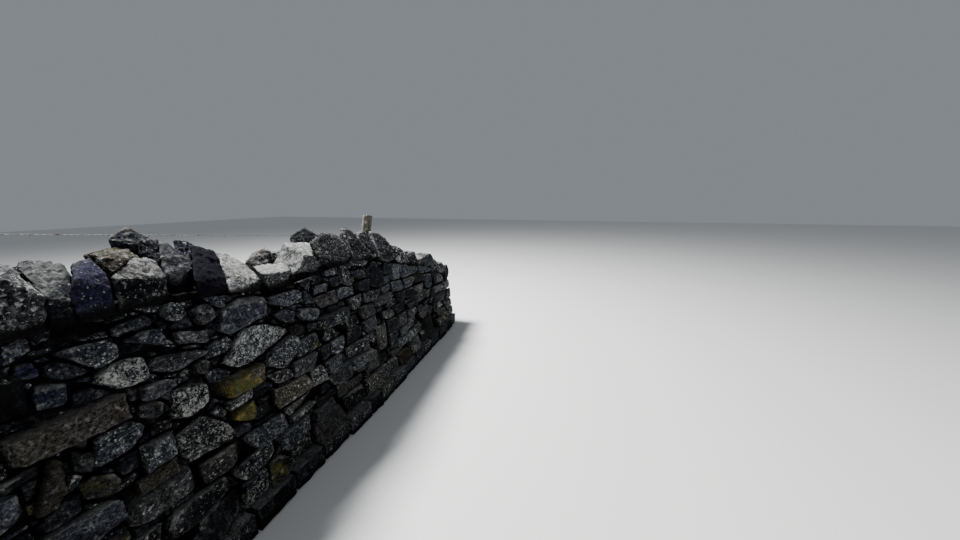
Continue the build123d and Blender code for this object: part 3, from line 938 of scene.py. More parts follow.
def layCourse(dice, beds, course, jointsBelow):
    # one course of cells between two bed lines, and the places of its joints
    levels = beds[0]
    x, lean, joints, cells = body["start"] + dice.uniform(0, courseWork["firstJoint"]), 0.0, [], []
    longer = courseWork["lowLonger"] - courseWork["topShorter"] * (course / len(levels))
    while x < body["end"] - courseWork["endRoom"]:
        length = dice.uniform(courseWork["shortest"], courseWork["longest"]) * longer
        if any(abs(x + length - joint) < courseWork["bondOverlap"] for joint in jointsBelow):
            length += courseWork["bondShift"] * courseWork["bondOverlap"]
        nextLean = dice.normal(0, courseWork["jointLean"])
        tall = 2 if dice.random() < courseWork["jumperShare"] and course < len(levels) - 2 else 1
        low = [bedAt(*beds, course, spot) for spot in (x, x + length)]
        high = [bedAt(*beds, course + tall, spot) for spot in (x, x + length)]
        middle = x + length / 2
        if topAt(middle) - max(high) < courseWork["thinnestTopCourse"]:
            high = [topAt(spot) + courseWork["overTheTop"] for spot in (x, x + length)]
        rise = high[0] - low[0]
        cell = np.array([
            (x - lean * rise / 2, low[0]), (x + length - nextLean * rise / 2, low[1]),
            (x + length + nextLean * rise / 2, high[1]), (x + lean * rise / 2, high[0]),
        ])
        if dice.random() < courseWork["splitShare"] and tall == 1:
            place, turn = courseWork["splitPlace"], courseWork["splitLean"]
            spot = np.array([middle, (low[0] + high[0]) / 2 + dice.uniform(-place, place) * rise])
            across = unit((dice.uniform(-turn, turn), 1))
            cells += [cutPolygon(cell, across, across @ spot), cutPolygon(cell, -across, -across @ spot)]
        else:
            cells.append(cell)
        x += length
        joints.append(x)
        lean = nextLean
    return cells, joints


def layCourses(dice, placed):
    # course by course, each stone cut back from what is already there
    levels = bedLines(dice)
    beds = (levels, dice.uniform(*courseWork["phases"], len(levels) + 2))
    cells, joints, laid = [], [], []
    for course in range(len(levels) - 1):
        newCells, joints = layCourse(dice, beds, course, joints)
        cells += newCells
    for cell in cells:
        if len(cell) < 3 or cell[:, 0].min() > body["end"] or topAt(cell[:, 0].mean()) < cell[:, 1].min():
            continue
        cell = clearOf(insideBody(cell), placed + laid)
        if len(cell) > 2 and bigEnough(insetPolygon(cell, courseWork["jointGap"])):
            laid.append(cell)
    return laid


def insideBody(cell):
    # what lies under the top line, over the footings and between the wall's ends
    middle = cell[:, 0].mean()
    across = unit((-topSlope(middle), 1))
    cell = cutPolygon(cell, across, across @ np.array([middle, float(topAt(middle))]))
    for normal, reach in (((-1, 0), -body["start"]), ((1, 0), body["end"]), ((0, -1), -body["footTop"])):
        if len(cell) > 2:
            cell = cutPolygon(cell, np.array(normal, float), reach)
    return cell


def bigEnough(cell):
    if len(cell) < 3 or polygonArea(cell) < courseWork["smallestStone"]:
        return False
    normals, reaches, lengths = polygonEdges(cell)
    widths = reaches - (cell @ normals.T).min(0)
    return widths[lengths > polygonWork["noEdge"]].min() > courseWork["thinnestStone"]


def pinVoids(placed):
    # small stones for the voids, each grown round the point that lies furthest from all the others
    step, (wide, high) = pinWork["step"], pinWork["box"]
    xs = np.arange(body["start"] + step, body["end"], step)
    zs = np.arange(body["footTop"] + step, topHeights.max(), step)
    grid = np.stack(np.meshgrid(xs, zs, indexing="ij"), -1)
    room = np.minimum(topAt(grid[..., 0]) - grid[..., 1], grid[..., 1] - body["footTop"])
    room = np.minimum(room, np.minimum(grid[..., 0] - body["start"], body["end"] - grid[..., 0]))

    def fill(cell):
        # the room left at the grid's points round a stone
        low = ((cell.min(0) - pinWork["reach"] - grid[0, 0]) / step).astype(int).clip(0)
        high = ((cell.max(0) + pinWork["reach"] - grid[0, 0]) / step).astype(int) + 2
        window = (slice(low[0], high[0]), slice(low[1], high[1]))
        if room[window].size:
            room[window] = np.minimum(room[window], signedDistance(cell, grid[window]))

    for cell in placed:
        fill(cell)
    pins = []
    for attempt in range(pinWork["most"]):
        index = np.unravel_index(np.argmax(room), room.shape)
        if room[index] < pinWork["clearance"]:
            break
        spot = grid[index]
        room[index] = 0
        cell = insideBody(rectangle(spot - (wide, high), spot + (wide, high)))
        for other in placed + pins:
            if len(cell) > 2 and not farApart(cell, other):
                cell = cutBack(cell, other, spot)
        if len(cell) > 2 and polygonArea(cell) > pinWork["smallest"]:
            pins.append(cell)
            fill(cell)
    return pins


# A stone in a face, in metres, radians and shares of its own size
faceCuts = {
    "depth": 0.15,
    "leastDepth": 0.06,
    "depthPerSize": 1.2,
    "behind": 0.02,  # left of the face's depth behind a stone
    "proud": (-0.03, 0.026),
    "tilt": 0.14,
    "leanBack": 0.06,
    "taper": (1, 11),  # degrees that the sides close in
    "backShare": 0.8,
    "topBevel": (0.75, 1.0, 0.03, 0.2),  # forwards, upwards, and the least and most that it cuts
    "lowBevel": (1.0, -0.8, 0.02, 0.12),
    "bevelTurn": 0.3,
    "cornerTurn": (0.5, 1.1, 0.5),
    "cornerCut": (0.02, 0.16),
    "leastKept": 0.45,
    "smallest": 0.0002,
    "leastReach": 0.006,
    "shadeFrom": 0.02,  # painted shade starts this deep in the joints, and is full so much deeper
    "shadeDepth": 0.11,
}


def faceStone(corners, side, dice, style, steps):
    # a stone in a face: its sides stand on the outline's edges and close in a little towards the back,
    # its front is tilted, and bevels knock off its top and bottom front arrises and some corners
    corners = chipCorners(corners, dice) if style.get("chips", True) else corners
    corners = insetPolygon(corners, courseWork["jointGap"])
    if len(corners) < 3 or polygonArea(corners) < faceCuts["smallest"]:
        return None
    middle = polygonMiddle(corners)
    normal = faceNormal(side, middle[0])
    rim, front = onFace(side, corners), onFace(side, middle[None])[0]
    upward = unit(np.array([0, 0, 1]) - normal * normal[2])
    along = np.cross(upward, normal)
    width, height = np.ptp(corners, axis=0)
    depth = faceCuts["leastDepth"] + faceCuts["depthPerSize"] * min(width, height)
    depth = min(style.get("depth", faceCuts["depth"]), depth, body["faceDepth"] - faceCuts["behind"])
    proud = style.get("proud", dice.uniform(*faceCuts["proud"]))
    centre = front + normal * (proud - depth / 2)
    tilt = dice.normal(0, faceCuts["tilt"], 2) + (0, faceCuts["leanBack"])
    planes = [(unit(normal + along * tilt[0] + upward * tilt[1]), front + normal * proud)]
    planes.append((-normal, front - normal * (depth - proud)))
    for first, second in zip(rim, np.roll(rim, -1, axis=0)):
        if np.linalg.norm(second - first) < polygonWork["noEdge"]:
            continue
        outward = np.cross(unit(second - first), normal)
        outward *= np.sign(outward @ (first - front))
        taper = math.tan(math.radians(dice.uniform(*faceCuts["taper"])))
        planes.append((unit(outward - taper * normal), first))
    back = front + (rim - front) * faceCuts["backShare"] - normal * (depth - proud)
    corners = np.concatenate([rim + normal * proud, back])
    bevels = []
    for (forwards, upwards, *cuts), deeper in (
        (faceCuts["topBevel"], style.get("topCut", 1.0)), (faceCuts["lowBevel"], 1.0),
    ):
        direction = normal * forwards + upward * upwards + along * dice.normal(0, faceCuts["bevelTurn"])
        bevels.append((direction, deeper * height * dice.uniform(*cuts)))
    least, most, turn = faceCuts["cornerTurn"]
    for sign in (-1, 1):
        direction = normal + along * sign * dice.uniform(least, most) + upward * dice.normal(0, turn)
        bevels.append((direction, min(width, height) * dice.uniform(*faceCuts["cornerCut"])))
    for direction, cut in bevels:
        direction = unit(direction)
        reach = ((corners - centre) @ direction).max()
        planes.append((direction, centre + direction * max(reach - cut, faceCuts["leastKept"] * reach)))
    planes = reachesFrom(centre, planes, faceCuts["leastReach"])
    axes, half = np.array([along, -normal, upward]), (width / 2, depth / 2, height / 2)
    # painted shade: the stone darkens with its depth behind the face
    surface = (normal, normal @ front - faceCuts["shadeFrom"], faceCuts["shadeDepth"])
    return finishStone(newStone(centre, axes, half, planes, steps, surface), dice, style)


# Stones read from the photograph: outline in pixels of the 960 by 540 frame, and what each looks like
stonesInPhoto = {
    "greyAtTheEdge": {
        "tone": 0.42, "warmth": 0.35, "lichen": 0.2,
        "outline": ((0, 345), (21, 334), (32, 341), (35, 350), (17, 361), (0, 371)),
    },
    "purpleLow": {
        "tone": 0.25, "warmth": 0.05, "crisp": 14, "lichen": 0.0,
        "outline": ((15, 367), (31, 358), (41, 365), (49, 377), (33, 383), (13, 379)),
    },
    "paleBlueBlock": {
        "tone": 0.45, "warmth": 0.3, "lichen": 0.1,
        "outline": ((39, 383), (53, 381), (72, 381), (75, 393), (72, 405), (53, 412), (37, 413), (33, 397)),
    },
    "spottedBlock": {
        "tone": 0.36, "warmth": 0.35, "lichen": 0.35,
        "outline": (
            (53, 354), (75, 345), (107, 339), (115, 346), (118, 357), (111, 363), (94, 369), (75, 362),
            (60, 358),
        ),
    },
    "whiteCrusted": {
        "tone": 0.3, "warmth": 0.45, "lichen": 1.0,
        "outline": (
            (94, 385), (97, 372), (110, 364), (127, 357), (145, 355), (150, 372), (149, 380), (135, 386),
            (118, 390),
        ),
    },
    "tiltedSlab": {
        "tone": 0.45, "warmth": 0.4, "lichen": 0.2, "layers": 0.006,
        "outline": (
            (113, 326), (148, 313), (158, 315), (159, 322), (155, 326), (140, 327), (121, 339), (114, 336),
            (110, 331),
        ),
    },
    "slabUnderIt": {
        "tone": 0.42, "warmth": 0.35, "lichen": 0.15, "layers": 0.005,
        "outline": (
            (121, 340), (146, 329), (160, 328), (168, 339), (166, 347), (159, 345), (143, 342), (124, 343),
        ),
    },
    "smallPentagon": {
        "tone": 0.36, "lichen": 0.35,
        "outline": ((169, 302), (178, 302), (187, 311), (179, 319), (173, 323), (167, 320), (161, 312)),
    },
    "greenPentagon": {
        "tone": 0.42, "moss": 0.15, "lichen": 0.1,
        "outline": (
            (191, 311), (201, 303), (207, 302), (216, 308), (218, 315), (207, 324), (201, 326), (195, 321),
        ),
    },
    "paleBrick": {
        "tone": 0.6, "warmth": 0.62, "crisp": 40, "lichen": 0.1,
        "outline": ((175, 331), (206, 329), (211, 340), (208, 343), (183, 345), (177, 340)),
    },
    "greyBlockPaleTop": {
        "tone": 0.62, "warmth": 0.42, "crisp": 50, "lichen": 0.1, "proud": 0.03, "pale": 1.0, "topCut": 3.0,
        "outline": (
            (211, 316), (231, 306), (240, 297), (252, 293), (268, 295), (267, 310), (264, 319), (245, 322),
            (238, 329), (228, 335), (217, 332),
        ),
    },
    "layeredBlock": {
        "tone": 0.55, "layers": 0.009, "lichen": 0.2,
        "outline": (
            (268, 297), (283, 291), (298, 289), (303, 292), (303, 302), (292, 304), (281, 307), (270, 304),
        ),
    },
    "smallRight": {
        "tone": 0.4,
        "outline": ((300, 290), (306, 289), (311, 295), (315, 304), (305, 304)),
    },
    "roundPale": {
        "tone": 0.5, "crisp": 14,
        "outline": ((275, 315), (288, 307), (295, 310), (297, 316), (293, 322), (285, 323), (279, 318)),
    },
    "blockRight": {
        "tone": 0.5,
        "outline": ((299, 308), (315, 306), (320, 308), (316, 314), (315, 321), (304, 321), (300, 316)),
    },
    "bigCrustedSlab": {
        "tone": 0.56, "lichen": 0.8, "layers": 0.006, "warmth": 0.45,
        "outline": (
            (248, 323), (270, 323), (293, 328), (292, 332), (281, 341), (270, 350), (252, 364), (241, 369),
            (222, 367), (231, 354), (240, 340), (243, 329),
        ),
    },
    "besideIt": {
        "tone": 0.42, "lichen": 0.45,
        "outline": (
            (292, 333), (297, 338), (298, 348), (291, 359), (283, 369), (264, 367), (270, 354), (283, 341),
        ),
    },
    "paleParting": {
        "tone": 0.42, "lichen": 0.2, "warmth": 0.6,
        "outline": (
            (152, 357), (178, 351), (208, 348), (209, 353), (195, 364), (185, 372), (164, 374), (151, 372),
        ),
    },
    "smallSlab": {
        "tone": 0.36,
        "outline": ((195, 366), (205, 358), (213, 362), (205, 374), (196, 375)),
    },
    "paleGreenBlock": {
        "tone": 0.6, "moss": 0.22, "warmth": 0.6, "lichen": 0.15,
        "outline": ((141, 389), (158, 380), (177, 377), (178, 386), (163, 395), (146, 403), (141, 401)),
    },
    "underPaleGreen": {
        "tone": 0.3, "moss": 0.25, "warmth": 0.62,
        "outline": ((142, 405), (160, 398), (170, 402), (170, 415), (155, 422), (142, 420)),
    },
    "speckledGrey": {
        "tone": 0.3, "lichen": 0.7, "warmth": 0.45,
        "outline": (
            (175, 388), (195, 380), (211, 381), (215, 395), (213, 403), (198, 408), (195, 420), (175, 420),
            (174, 403),
        ),
    },
    "uprightStone": {
        "tone": 0.32, "moss": 0.4, "warmth": 0.7,
        "outline": ((53, 456), (63, 458), (66, 491), (58, 507), (44, 519), (35, 520), (44, 491), (48, 471)),
    },
    "mossyLow": {
        "tone": 0.25, "moss": 0.4, "warmth": 0.6,
        "outline": ((70, 450), (94, 452), (94, 474), (72, 474)),
    },
    "lowBlock": {
        "tone": 0.28, "moss": 0.3, "warmth": 0.68,
        "outline": ((83, 485), (100, 475), (120, 472), (126, 479), (124, 491), (115, 499), (86, 504)),
    },
    "yellowCrusted": {
        "tone": 0.4, "moss": 0.75, "warmth": 0.75,
        "outline": ((236, 411), (253, 401), (259, 405), (255, 417), (243, 423), (234, 421)),
    },
    "smallLow": {
        "tone": 0.32, "moss": 0.3,
        "outline": ((212, 415), (222, 403), (228, 412), (226, 420)),
    },
    "rightLower": {
        "tone": 0.36, "moss": 0.2,
        "outline": ((269, 376), (285, 367), (294, 370), (294, 378), (280, 385)),
    },
    "underPaleTrapezium": {
        "tone": 0.4,
        "outline": ((290, 279), (292, 273), (309, 271), (312, 275), (310, 279), (298, 284), (291, 282)),
    },
    "paleUnderBoulder": {
        "tone": 0.5, "lichen": 0.4,
        "outline": ((324, 261), (340, 265), (338, 275), (326, 277)),
    },
    "tallLeaning": {
        "tone": 0.36,
        "outline": ((340, 261), (350, 266), (354, 288), (342, 284)),
    },
    "lastPale": {
        "tone": 0.45,
        "outline": ((352, 258), (368, 258), (368, 266), (354, 266)),
    },
}

# Voids that the photograph shows in the near face, left open by the small stones too
voidsInPhoto = (
    ((58, 333), (80, 323), (110, 322), (112, 326), (76, 340), (58, 346)),
    ((0, 388), (20, 384), (32, 389), (32, 400), (35, 414), (20, 421), (0, 424)),
    ((216, 384), (226, 381), (236, 390), (232, 400), (219, 397)),
    ((152, 347), (168, 350), (176, 347), (160, 353)),
)

# Steps of each kind of stone's surface, along it, through it and up
fineness = {
    "seenCope": (38, 30, 26),
    "cope": (24, 18, 16),
    "packing": (7, 6, 5),
    "nearFace": (18, 8, 12),
    "face": (12, 6, 8),
    "pin": (5, 3, 4),
    "head": (14, 12, 8),
    "through": (16, 18, 8),
    "footing": (12, 10, 7),
}


# Heads that close the wall's ends, in metres
headWork = {
    "seed": 21,
    "course": (0.13, 0.21),
    "thinnestTop": 0.09,
    "noCourse": 0.02,
    "depths": (0.85, 1.15),  # long and short by turns along the wall, against the solid head's depth
    "split": 0.12,
    "threeSplits": (-0.17, 0.19),
    "splitShift": 0.05,
    "jointLean": 0.02,
    "wideJoint": 1.4,
    "lean": 0.03,  # how much the end's stones turn, and how far they lean back
    "leanBack": 0.03,
    "knocks": 6,
    "knockWays": (0.8, -0.3),
    "knock": (0.01, 0.035),
    "leastReach": 0.01,
    "style": {"lumps": 0.07, "crisp": 18, "swell": 0.0},
}
cleanSurface = ((0, 0, 1), -1.0, 1.0)  # no painted shade: nothing lies as deep


def headCourses(sign, dice):
    # stones that close an end of the wall: courses of two or three over its width
    level, course, stones, ends = body["footTop"], 0, [], []
    endPlace = body["start"] if sign < 0 else body["end"]
    top = float(topAt(endPlace))
    while level < top - headWork["noCourse"]:
        height = dice.uniform(*headWork["course"])
        if top - level - height < headWork["thinnestTop"]:
            height = top - level
        depth = body["headDepth"] * headWork["depths"][course % 2]
        low, high = halfWidth(endPlace, level), halfWidth(endPlace, level + height)
        if course % 2:
            joints = [dice.uniform(-headWork["split"], headWork["split"])]
        else:
            joints = list(headWork["threeSplits"])
            joints[0] += dice.uniform(-headWork["splitShift"], headWork["splitShift"])
        feet, crowns = [-low, *joints, low], [-high, *joints, high]
        for index in range(len(joints) + 1):
            last = index == len(joints)
            lean = 0 if last else dice.uniform(-headWork["jointLean"], headWork["jointLean"])
            corners = np.array([
                (feet[index], level), (feet[index + 1], level),
                (crowns[index + 1] + lean, level + height), (crowns[index], level + height),
            ])
            stones.append((corners, depth, (index == 0, last)))
        ends.append((level, level + height, depth))
        level += height
        course += 1
    return stones, ends, endPlace


def headStone(corners, depth, openSides, sign, endPlace, dice):
    # a head stone between the end plane and its own depth, with the battered faces as its outer sides
    gap = courseWork["jointGap"] * headWork["wideJoint"]
    corners = insetPolygon(corners, gap)
    middle = polygonMiddle(corners)
    width, height = np.ptp(corners, axis=0)
    centre = np.array([endPlace - sign * depth / 2, *middle])
    axes = np.array([(0, -sign, 0), (-sign, 0, 0), (0, 0, 1)], float)
    lean = dice.normal(0, headWork["lean"])
    back = (abs(lean) * width + headWork["leanBack"] * height) / 2  # no corner passes the end
    planes = [
        (unit((sign, lean, headWork["leanBack"])), np.array([endPlace - sign * back, *middle])),
        (unit((-sign, 0, 0)), np.array([endPlace - sign * (depth - gap), *middle])),
    ]
    normals, reaches, lengths = polygonEdges(corners)
    for corner, normal, length in zip(corners, normals, lengths):
        if length > polygonWork["noEdge"]:
            outer = abs(normal[0]) > abs(normal[1]) and openSides[int(normal[0] > 0)]
            tilt = -topSlope(endPlace) * body["batter"] if outer else 0
            planes.append((unit((tilt, *normal)), np.array([endPlace, *corner])))
    points = np.array([(x, *corner) for x in (endPlace, endPlace - sign * depth) for corner in corners])
    for knock in range(headWork["knocks"]):
        direction = unit(np.array([sign * dice.choice(headWork["knockWays"]), *dice.normal(0, 1, 2)]))
        reach = ((points - centre) @ direction).max()
        planes.append((direction, centre + direction * (reach - dice.uniform(*headWork["knock"]))))
    planes = reachesFrom(centre, planes, headWork["leastReach"])
    stone = newStone(centre, axes, (width / 2, depth / 2, height / 2), planes, fineness["head"], cleanSurface)
    return finishStone(stone, dice, headWork["style"])


# Solids of the frame, dressed as rough stones
dressing = {
    "seed": 100,
    "smallestFacet": 1e-5,
    "sameWay": 0.999,  # facets of one plane: the product of their normals, and how far apart they are
    "sameReach": 0.004,
    "underside": -0.9,
    "chips": 4,  # on throughs and footings
    "chipsUp": 0.3,
    "chip": (0.03, 0.14),  # against the stone's smallest half
    "leastReach": 0.01,
    "shadeFrom": 0.09,  # painted shade starts so far over its foot, and how much lower it is full
    "shadeDepth": 0.1,
    "moss": (0.1, 0.4),
}


def solidPoints(name):
    # the corner points of each separate solid of a node: corners that share a triangle get one label
    mesh = nodes[name].data
    mesh.calc_loop_triangles()
    triangles = np.zeros(len(mesh.loop_triangles) * 3, np.int32)
    mesh.loop_triangles.foreach_get("vertices", triangles)
    points, index = np.unique(np.round(nodePoints(name), 5), axis=0, return_inverse=True)
    triangles = index[triangles].reshape(-1, 3)
    labels = np.arange(len(points))
    while True:
        lowest = labels[triangles].min(1)
        before = labels.copy()
        np.minimum.at(labels, triangles.ravel(), np.repeat(lowest, 3))
        if (labels == before).all():
            break
    return [points[labels == label] for label in np.unique(labels)]


def hullPlanes(points):
    # planes of a solid's hull with their areas, large ones first
    shell, planes = bmesh.new(), []
    for point in points:
        shell.verts.new(point)
    bmesh.ops.remove_doubles(shell, verts=shell.verts[:], dist=0.001)
    bmesh.ops.convex_hull(shell, input=shell.verts[:])
    shell.normal_update()
    for face in shell.faces:
        if face.calc_area() < dressing["smallestFacet"]:
            continue
        normal = np.array(face.normal)
        reach = float((points @ normal).max())
        for plane in planes:
            sameWay = plane["normal"] @ normal > dressing["sameWay"]
            if sameWay and abs(plane["reach"] - reach) < dressing["sameReach"]:
                plane["area"] += face.calc_area()
                break
        else:
            planes.append({"normal": normal, "reach": reach, "area": face.calc_area()})
    shell.free()
    return sorted(planes, key=lambda plane: -plane["area"])


def dressedStone(points, dice, style, steps, chips):
    # a CAD solid as a rough stone: its own planes with a few corners knocked off
    solidPlanes = hullPlanes(points)
    centre = points.mean(0)
    facets = [plane["normal"] for plane in solidPlanes]
    bed = next(normal for normal in facets if normal[2] > dressing["underside"])
    spread = points - centre
    flat = spread - np.outer(spread @ bed, bed)
    along = unit(np.linalg.svd(flat, full_matrices=False)[2][0])
    axes = np.array([along, np.cross(bed, along), bed])
    half = np.abs(spread @ axes.T).max(0)
    planes = [
        (plane["normal"], max(plane["reach"] - plane["normal"] @ centre, dressing["leastReach"]))
        for plane in solidPlanes
    ]
    for chip in range(chips):
        direction = unit(dice.normal(0, 1, 3) + (0, 0, dressing["chipsUp"]))
        reach = (spread @ direction).max()
        planes.append((direction, reach - half.min() * dice.uniform(*dressing["chip"])))
    # painted shade: the stone darkens towards its foot
    surface = ((0, 0, 1), points[:, 2].min() + dressing["shadeFrom"], dressing["shadeDepth"])
    return finishStone(newStone(centre, axes, half, planes, steps, surface), dice, style)


# Cope stones that the photograph shows, by the middle of each in plan in metres, and what it looks like
copeSurface = {"swell": 1.15, "grit": 0.012}
ridge = {"lumps": 0.1, "swell": 1.35}


def copeLook(at, pale, tone, warmth, crisp, lichen, **more):
    look = {"at": at, "pale": pale, "tone": tone, "warmth": warmth, "crisp": crisp, "lichen": lichen}
    return {**look, "moss": 0.0, **more}


copeLooks = {
    "paleSlopingSlab": copeLook((-2.553, -0.13), 0.38, 0.46, 0.6, 104, 0.4, layers=0.009, layerSize=0.03),
    "purpleBoulder": copeLook((-2.225, -0.142), 0.1, 0.32, 0.08, 41, 0.15, layers=0, moss=0.05),
    "roughWithPaleTop": copeLook((-2.0, -0.145), 0.8, 0.12, 0.5, 104, 0.25, layers=0.004),
    "striatedSlab": copeLook((-2.301, -0.075), 0.3, 0.26, 0.5, 93, 0.15, layers=0.013, layerSize=0.03),
    "rightRidge": copeLook((-1.708, -0.01), 0.5, 0.2, 0.24, 67, 0.15, **ridge),
    "middleRidge": copeLook((-1.748, 0.082), 0.5, 0.2, 0.24, 57, 0.15, **ridge),
    "leftRidge": copeLook((-1.807, 0.179), 0.5, 0.2, 0.24, 57, 0.15, **ridge),
    "nearBlack": copeLook((-1.589, -0.109), 0.02, 0.07, 0.03, 41, 0.05, layers=0, lumps=0.07),
    "brownRidged": copeLook(
        (-1.97, 0.088), 0.22, 0.24, 0.8, 67, None, lumps=0.12, layers=0.009, layerSize=0.05, moss=0.3),
    "paleTrapezium": copeLook((-1.055, -0.173), 0.8, 0.62, 0.6, 130, 0.3, lumps=0.05),
    "crackedPaleSlab": copeLook((-1.358, -0.069), 0.7, 0.6, 0.62, 104, 0.3, lumps=0.1),
    "darkBlockBehind": copeLook((-1.473, 0.163), 0.15, 0.18, 0.1, 52, 0.3, moss=None),
    "bigFlatSlab": copeLook((-0.639, -0.083), 0.85, 0.75, 0.6, 114, 0.3, lumps=0.06),
    "speckledBoulder": copeLook((-0.273, -0.13), 0.3, 0.12, 0.38, 46, 0.3, lumps=0.1),
    "darkTopBoulder": copeLook((-0.402, 0.089), 0.15, 0.14, 0.4, 46, 0.15),
    "paleTriangle": copeLook((-0.915, 0.118), 0.8, 1.2, 0.7, 117, 0.2),
    "firstLeaning": copeLook((0.144, -0.111), 0.5, 0.17, 0.42, 78, 0.2),
    "secondLeaning": copeLook((0.471, -0.093), 0.5, 0.17, 0.38, 78, 0.2),
    "thirdLeaning": copeLook((0.751, -0.101), 0.5, 0.17, 0.38, 78, 0.2),
}

# Through stones that the photograph shows, by place along the wall and height in metres
throughLooks = {
    "longBrownGrey": {
        "at": (-2.44, 1.33), "tone": 0.42, "warmth": 0.72, "lichen": 0.1, "moss": 0.1, "lumps": 0.05,
        "crisp": 24, "layers": 0.005, "grit": 0.012,
    },
    "mossyOrange": {
        "at": (-1.54, 1.11), "tone": 0.42, "warmth": 0.75, "lichen": 0.1, "moss": 0.5, "lumps": 0.06,
        "crisp": 20,
    },
}
sameStone = {"cope": 0.04, "through": 0.2}  # how far a solid may stand from the place that is given

# Small stones wedged under the copes, in metres
packing = {
    "half": (0.05, 0.055, 0.035),
    "size": (0.7, 1.3),
    "wideInside": 1.5,  # those in the row along the middle
    "corners": (0.75, 1),
    "gap": 0.03,
    "lastRoom": 0.06,
    "inset": 0.075,
    "rise": 0.012,
    "shade": 0.06,  # painted shade starts so much higher than on other stones
    "chips": 3,
    "tone": (0.12, 0.25),
    "style": {"pale": 0.0, "lumps": 0.12, "moss": 0.1},
}

# Other copes, and how many corners are knocked off a cope
copeWork = {
    "fineUpTo": -1.2,  # place along the wall, in metres
    "knownChips": 3,
    "otherChips": 7,
    "looks": {"tone": (0.16, 0.36), "lichen": (0.15, 0.5), "pale": (0.1, 0.7)},
    "moss": 0.05,
}


def lookOf(looks, place, within):
    # the look that is given for a stone at this place, if there is one
    for look in looks.values():
        if np.linalg.norm(place - look["at"]) < within:
            return look
    return None


def bayOf(x):
    # number of the bay that holds this place along the wall
    return min(max(int((x - body["start"]) / bayLength), 0), len(bays) - 1) + 1


# Faces and heads, in stones
faceLooks = {
    "smallestSeen": 0.001,  # square metres
    "seenSwell": 0.8,
    "mossAtFoot": 0.2,
    "warmth": 0.48,
    "warmerAtFoot": 0.16,
    "spread": 0.1,
    "mostMoss": 0.7,
    "pin": {"depth": 0.09, "lumps": 0.12, "pale": 0.15},
    "pinProud": (-0.05, -0.008),
    "pinTone": (0.15, 0.4),
}


def makeHeads():
    # both heads, and the rectangles that they fill in the faces
    filled = []
    for sign, name in ((-1, "high_end"), (1, "low_end")):
        dice = np.random.default_rng(headWork["seed"] + sign)
        stones, ends, place = headCourses(sign, dice)
        stones = [headStone(*stone, sign, place, dice) for stone in stones]
        stonePiece(f"{name}_stones", stones, "face_stone", f"{name}_head")
        for low, high, depth in ends:
            start, end = sorted((place, place - sign * depth))
            filled.append(rectangle((start, low), (end, high)))
    print("heads made")
    return filled


def throughEnds():
    # rectangles that the through stones fill in the faces
    solids = [points for bay in bays for points in solidPoints(f"throughs_{bay}")]
    return [rectangle(points.min(0)[[0, 2]], points.max(0)[[0, 2]]) for points in solids]


def placeFromPhoto(placed, dice):
    # the stones and the voids that the photograph shows, each cut back from those before it
    stones = []
    for style in stonesInPhoto.values():
        cell = hullPolygon([pixelOnFace(pixel) for pixel in style["outline"]])
        cell = clearOf(insideBody(cell), placed)
        if len(cell) > 2 and polygonArea(cell) > faceLooks["smallestSeen"]:
            placed.append(cell)
            style = {"chips": False, "swell": faceLooks["seenSwell"], **style}
            stones.append(faceStone(cell, -1, dice, style, fineness["nearFace"]))
    for outline in voidsInPhoto:
        cell = hullPolygon([pixelOnFace(pixel) for pixel in outline])
        cell = clearOf(insideBody(cell), placed)
        if len(cell) > 2:
            placed.append(cell)
    return stones


def lowness(x, z):
    # 0 at the wall's top, 1 at its foot
    return 1 - (z - body["footTop"]) / (topAt(x) - body["footTop"])


def coursedStyle(x, z, dice):
    # more moss and warmer stones towards the foot
    low = lowness(x, z)
    moss = dice.normal(faceLooks["mossAtFoot"] * low * low, faceLooks["spread"])
    warmth = dice.normal(faceLooks["warmth"] + faceLooks["warmerAtFoot"] * low, faceLooks["spread"])
    return {"moss": float(np.clip(moss, 0, faceLooks["mostMoss"])), "warmth": float(np.clip(warmth, 0, 1))}


def makeFaces(headEnds):
    # coursed stones round the ones that are given, small ones for the voids, all a little darker lower down
    # as painted shade
    fixed = throughEnds() + headEnds
    for side, name in ((-1, "near"), (1, "far")):
        dice = np.random.default_rng(courseWork["seed"] + side)
        placed = list(fixed)
        stones = placeFromPhoto(placed, dice) if side < 0 else []
        laid = layCourses(dice, placed)
        pins = pinVoids(placed + laid)
        for cell in laid:
            x, z = polygonMiddle(cell)
            steps = fineness["nearFace" if side < 0 and x < 0 else "face"]
            stones.append(faceStone(cell, side, dice, coursedStyle(x, z, dice), steps))
        for cell in pins:
            style = {"proud": dice.uniform(*faceLooks["pinProud"]), **faceLooks["pin"]}
            style["tone"] = float(dice.uniform(*faceLooks["pinTone"]))
            stones.append(faceStone(cell, side, dice, style, fineness["pin"]))
        stones = [stone for stone in stones if stone]
        # painted shade: darker towards the foot
        for stone in stones:
            low = min(max(lowness(stone["middle"][0], stone["middle"][2]), 0), 1)
            tone, *others = stone["look"]
            stone["look"] = (tone * (1 - courseWork["footShade"] * low), *others)
        for bay in bays:
            own = [stone for stone in stones if bayOf(stone["middle"][0]) == bay]
            stonePiece(f"{name}_stones_{bay}", own, "face_stone", f"{name}_face_{bay}")
        print(name, "face:", len(laid), "coursed stones,", len(pins), "pinning stones")


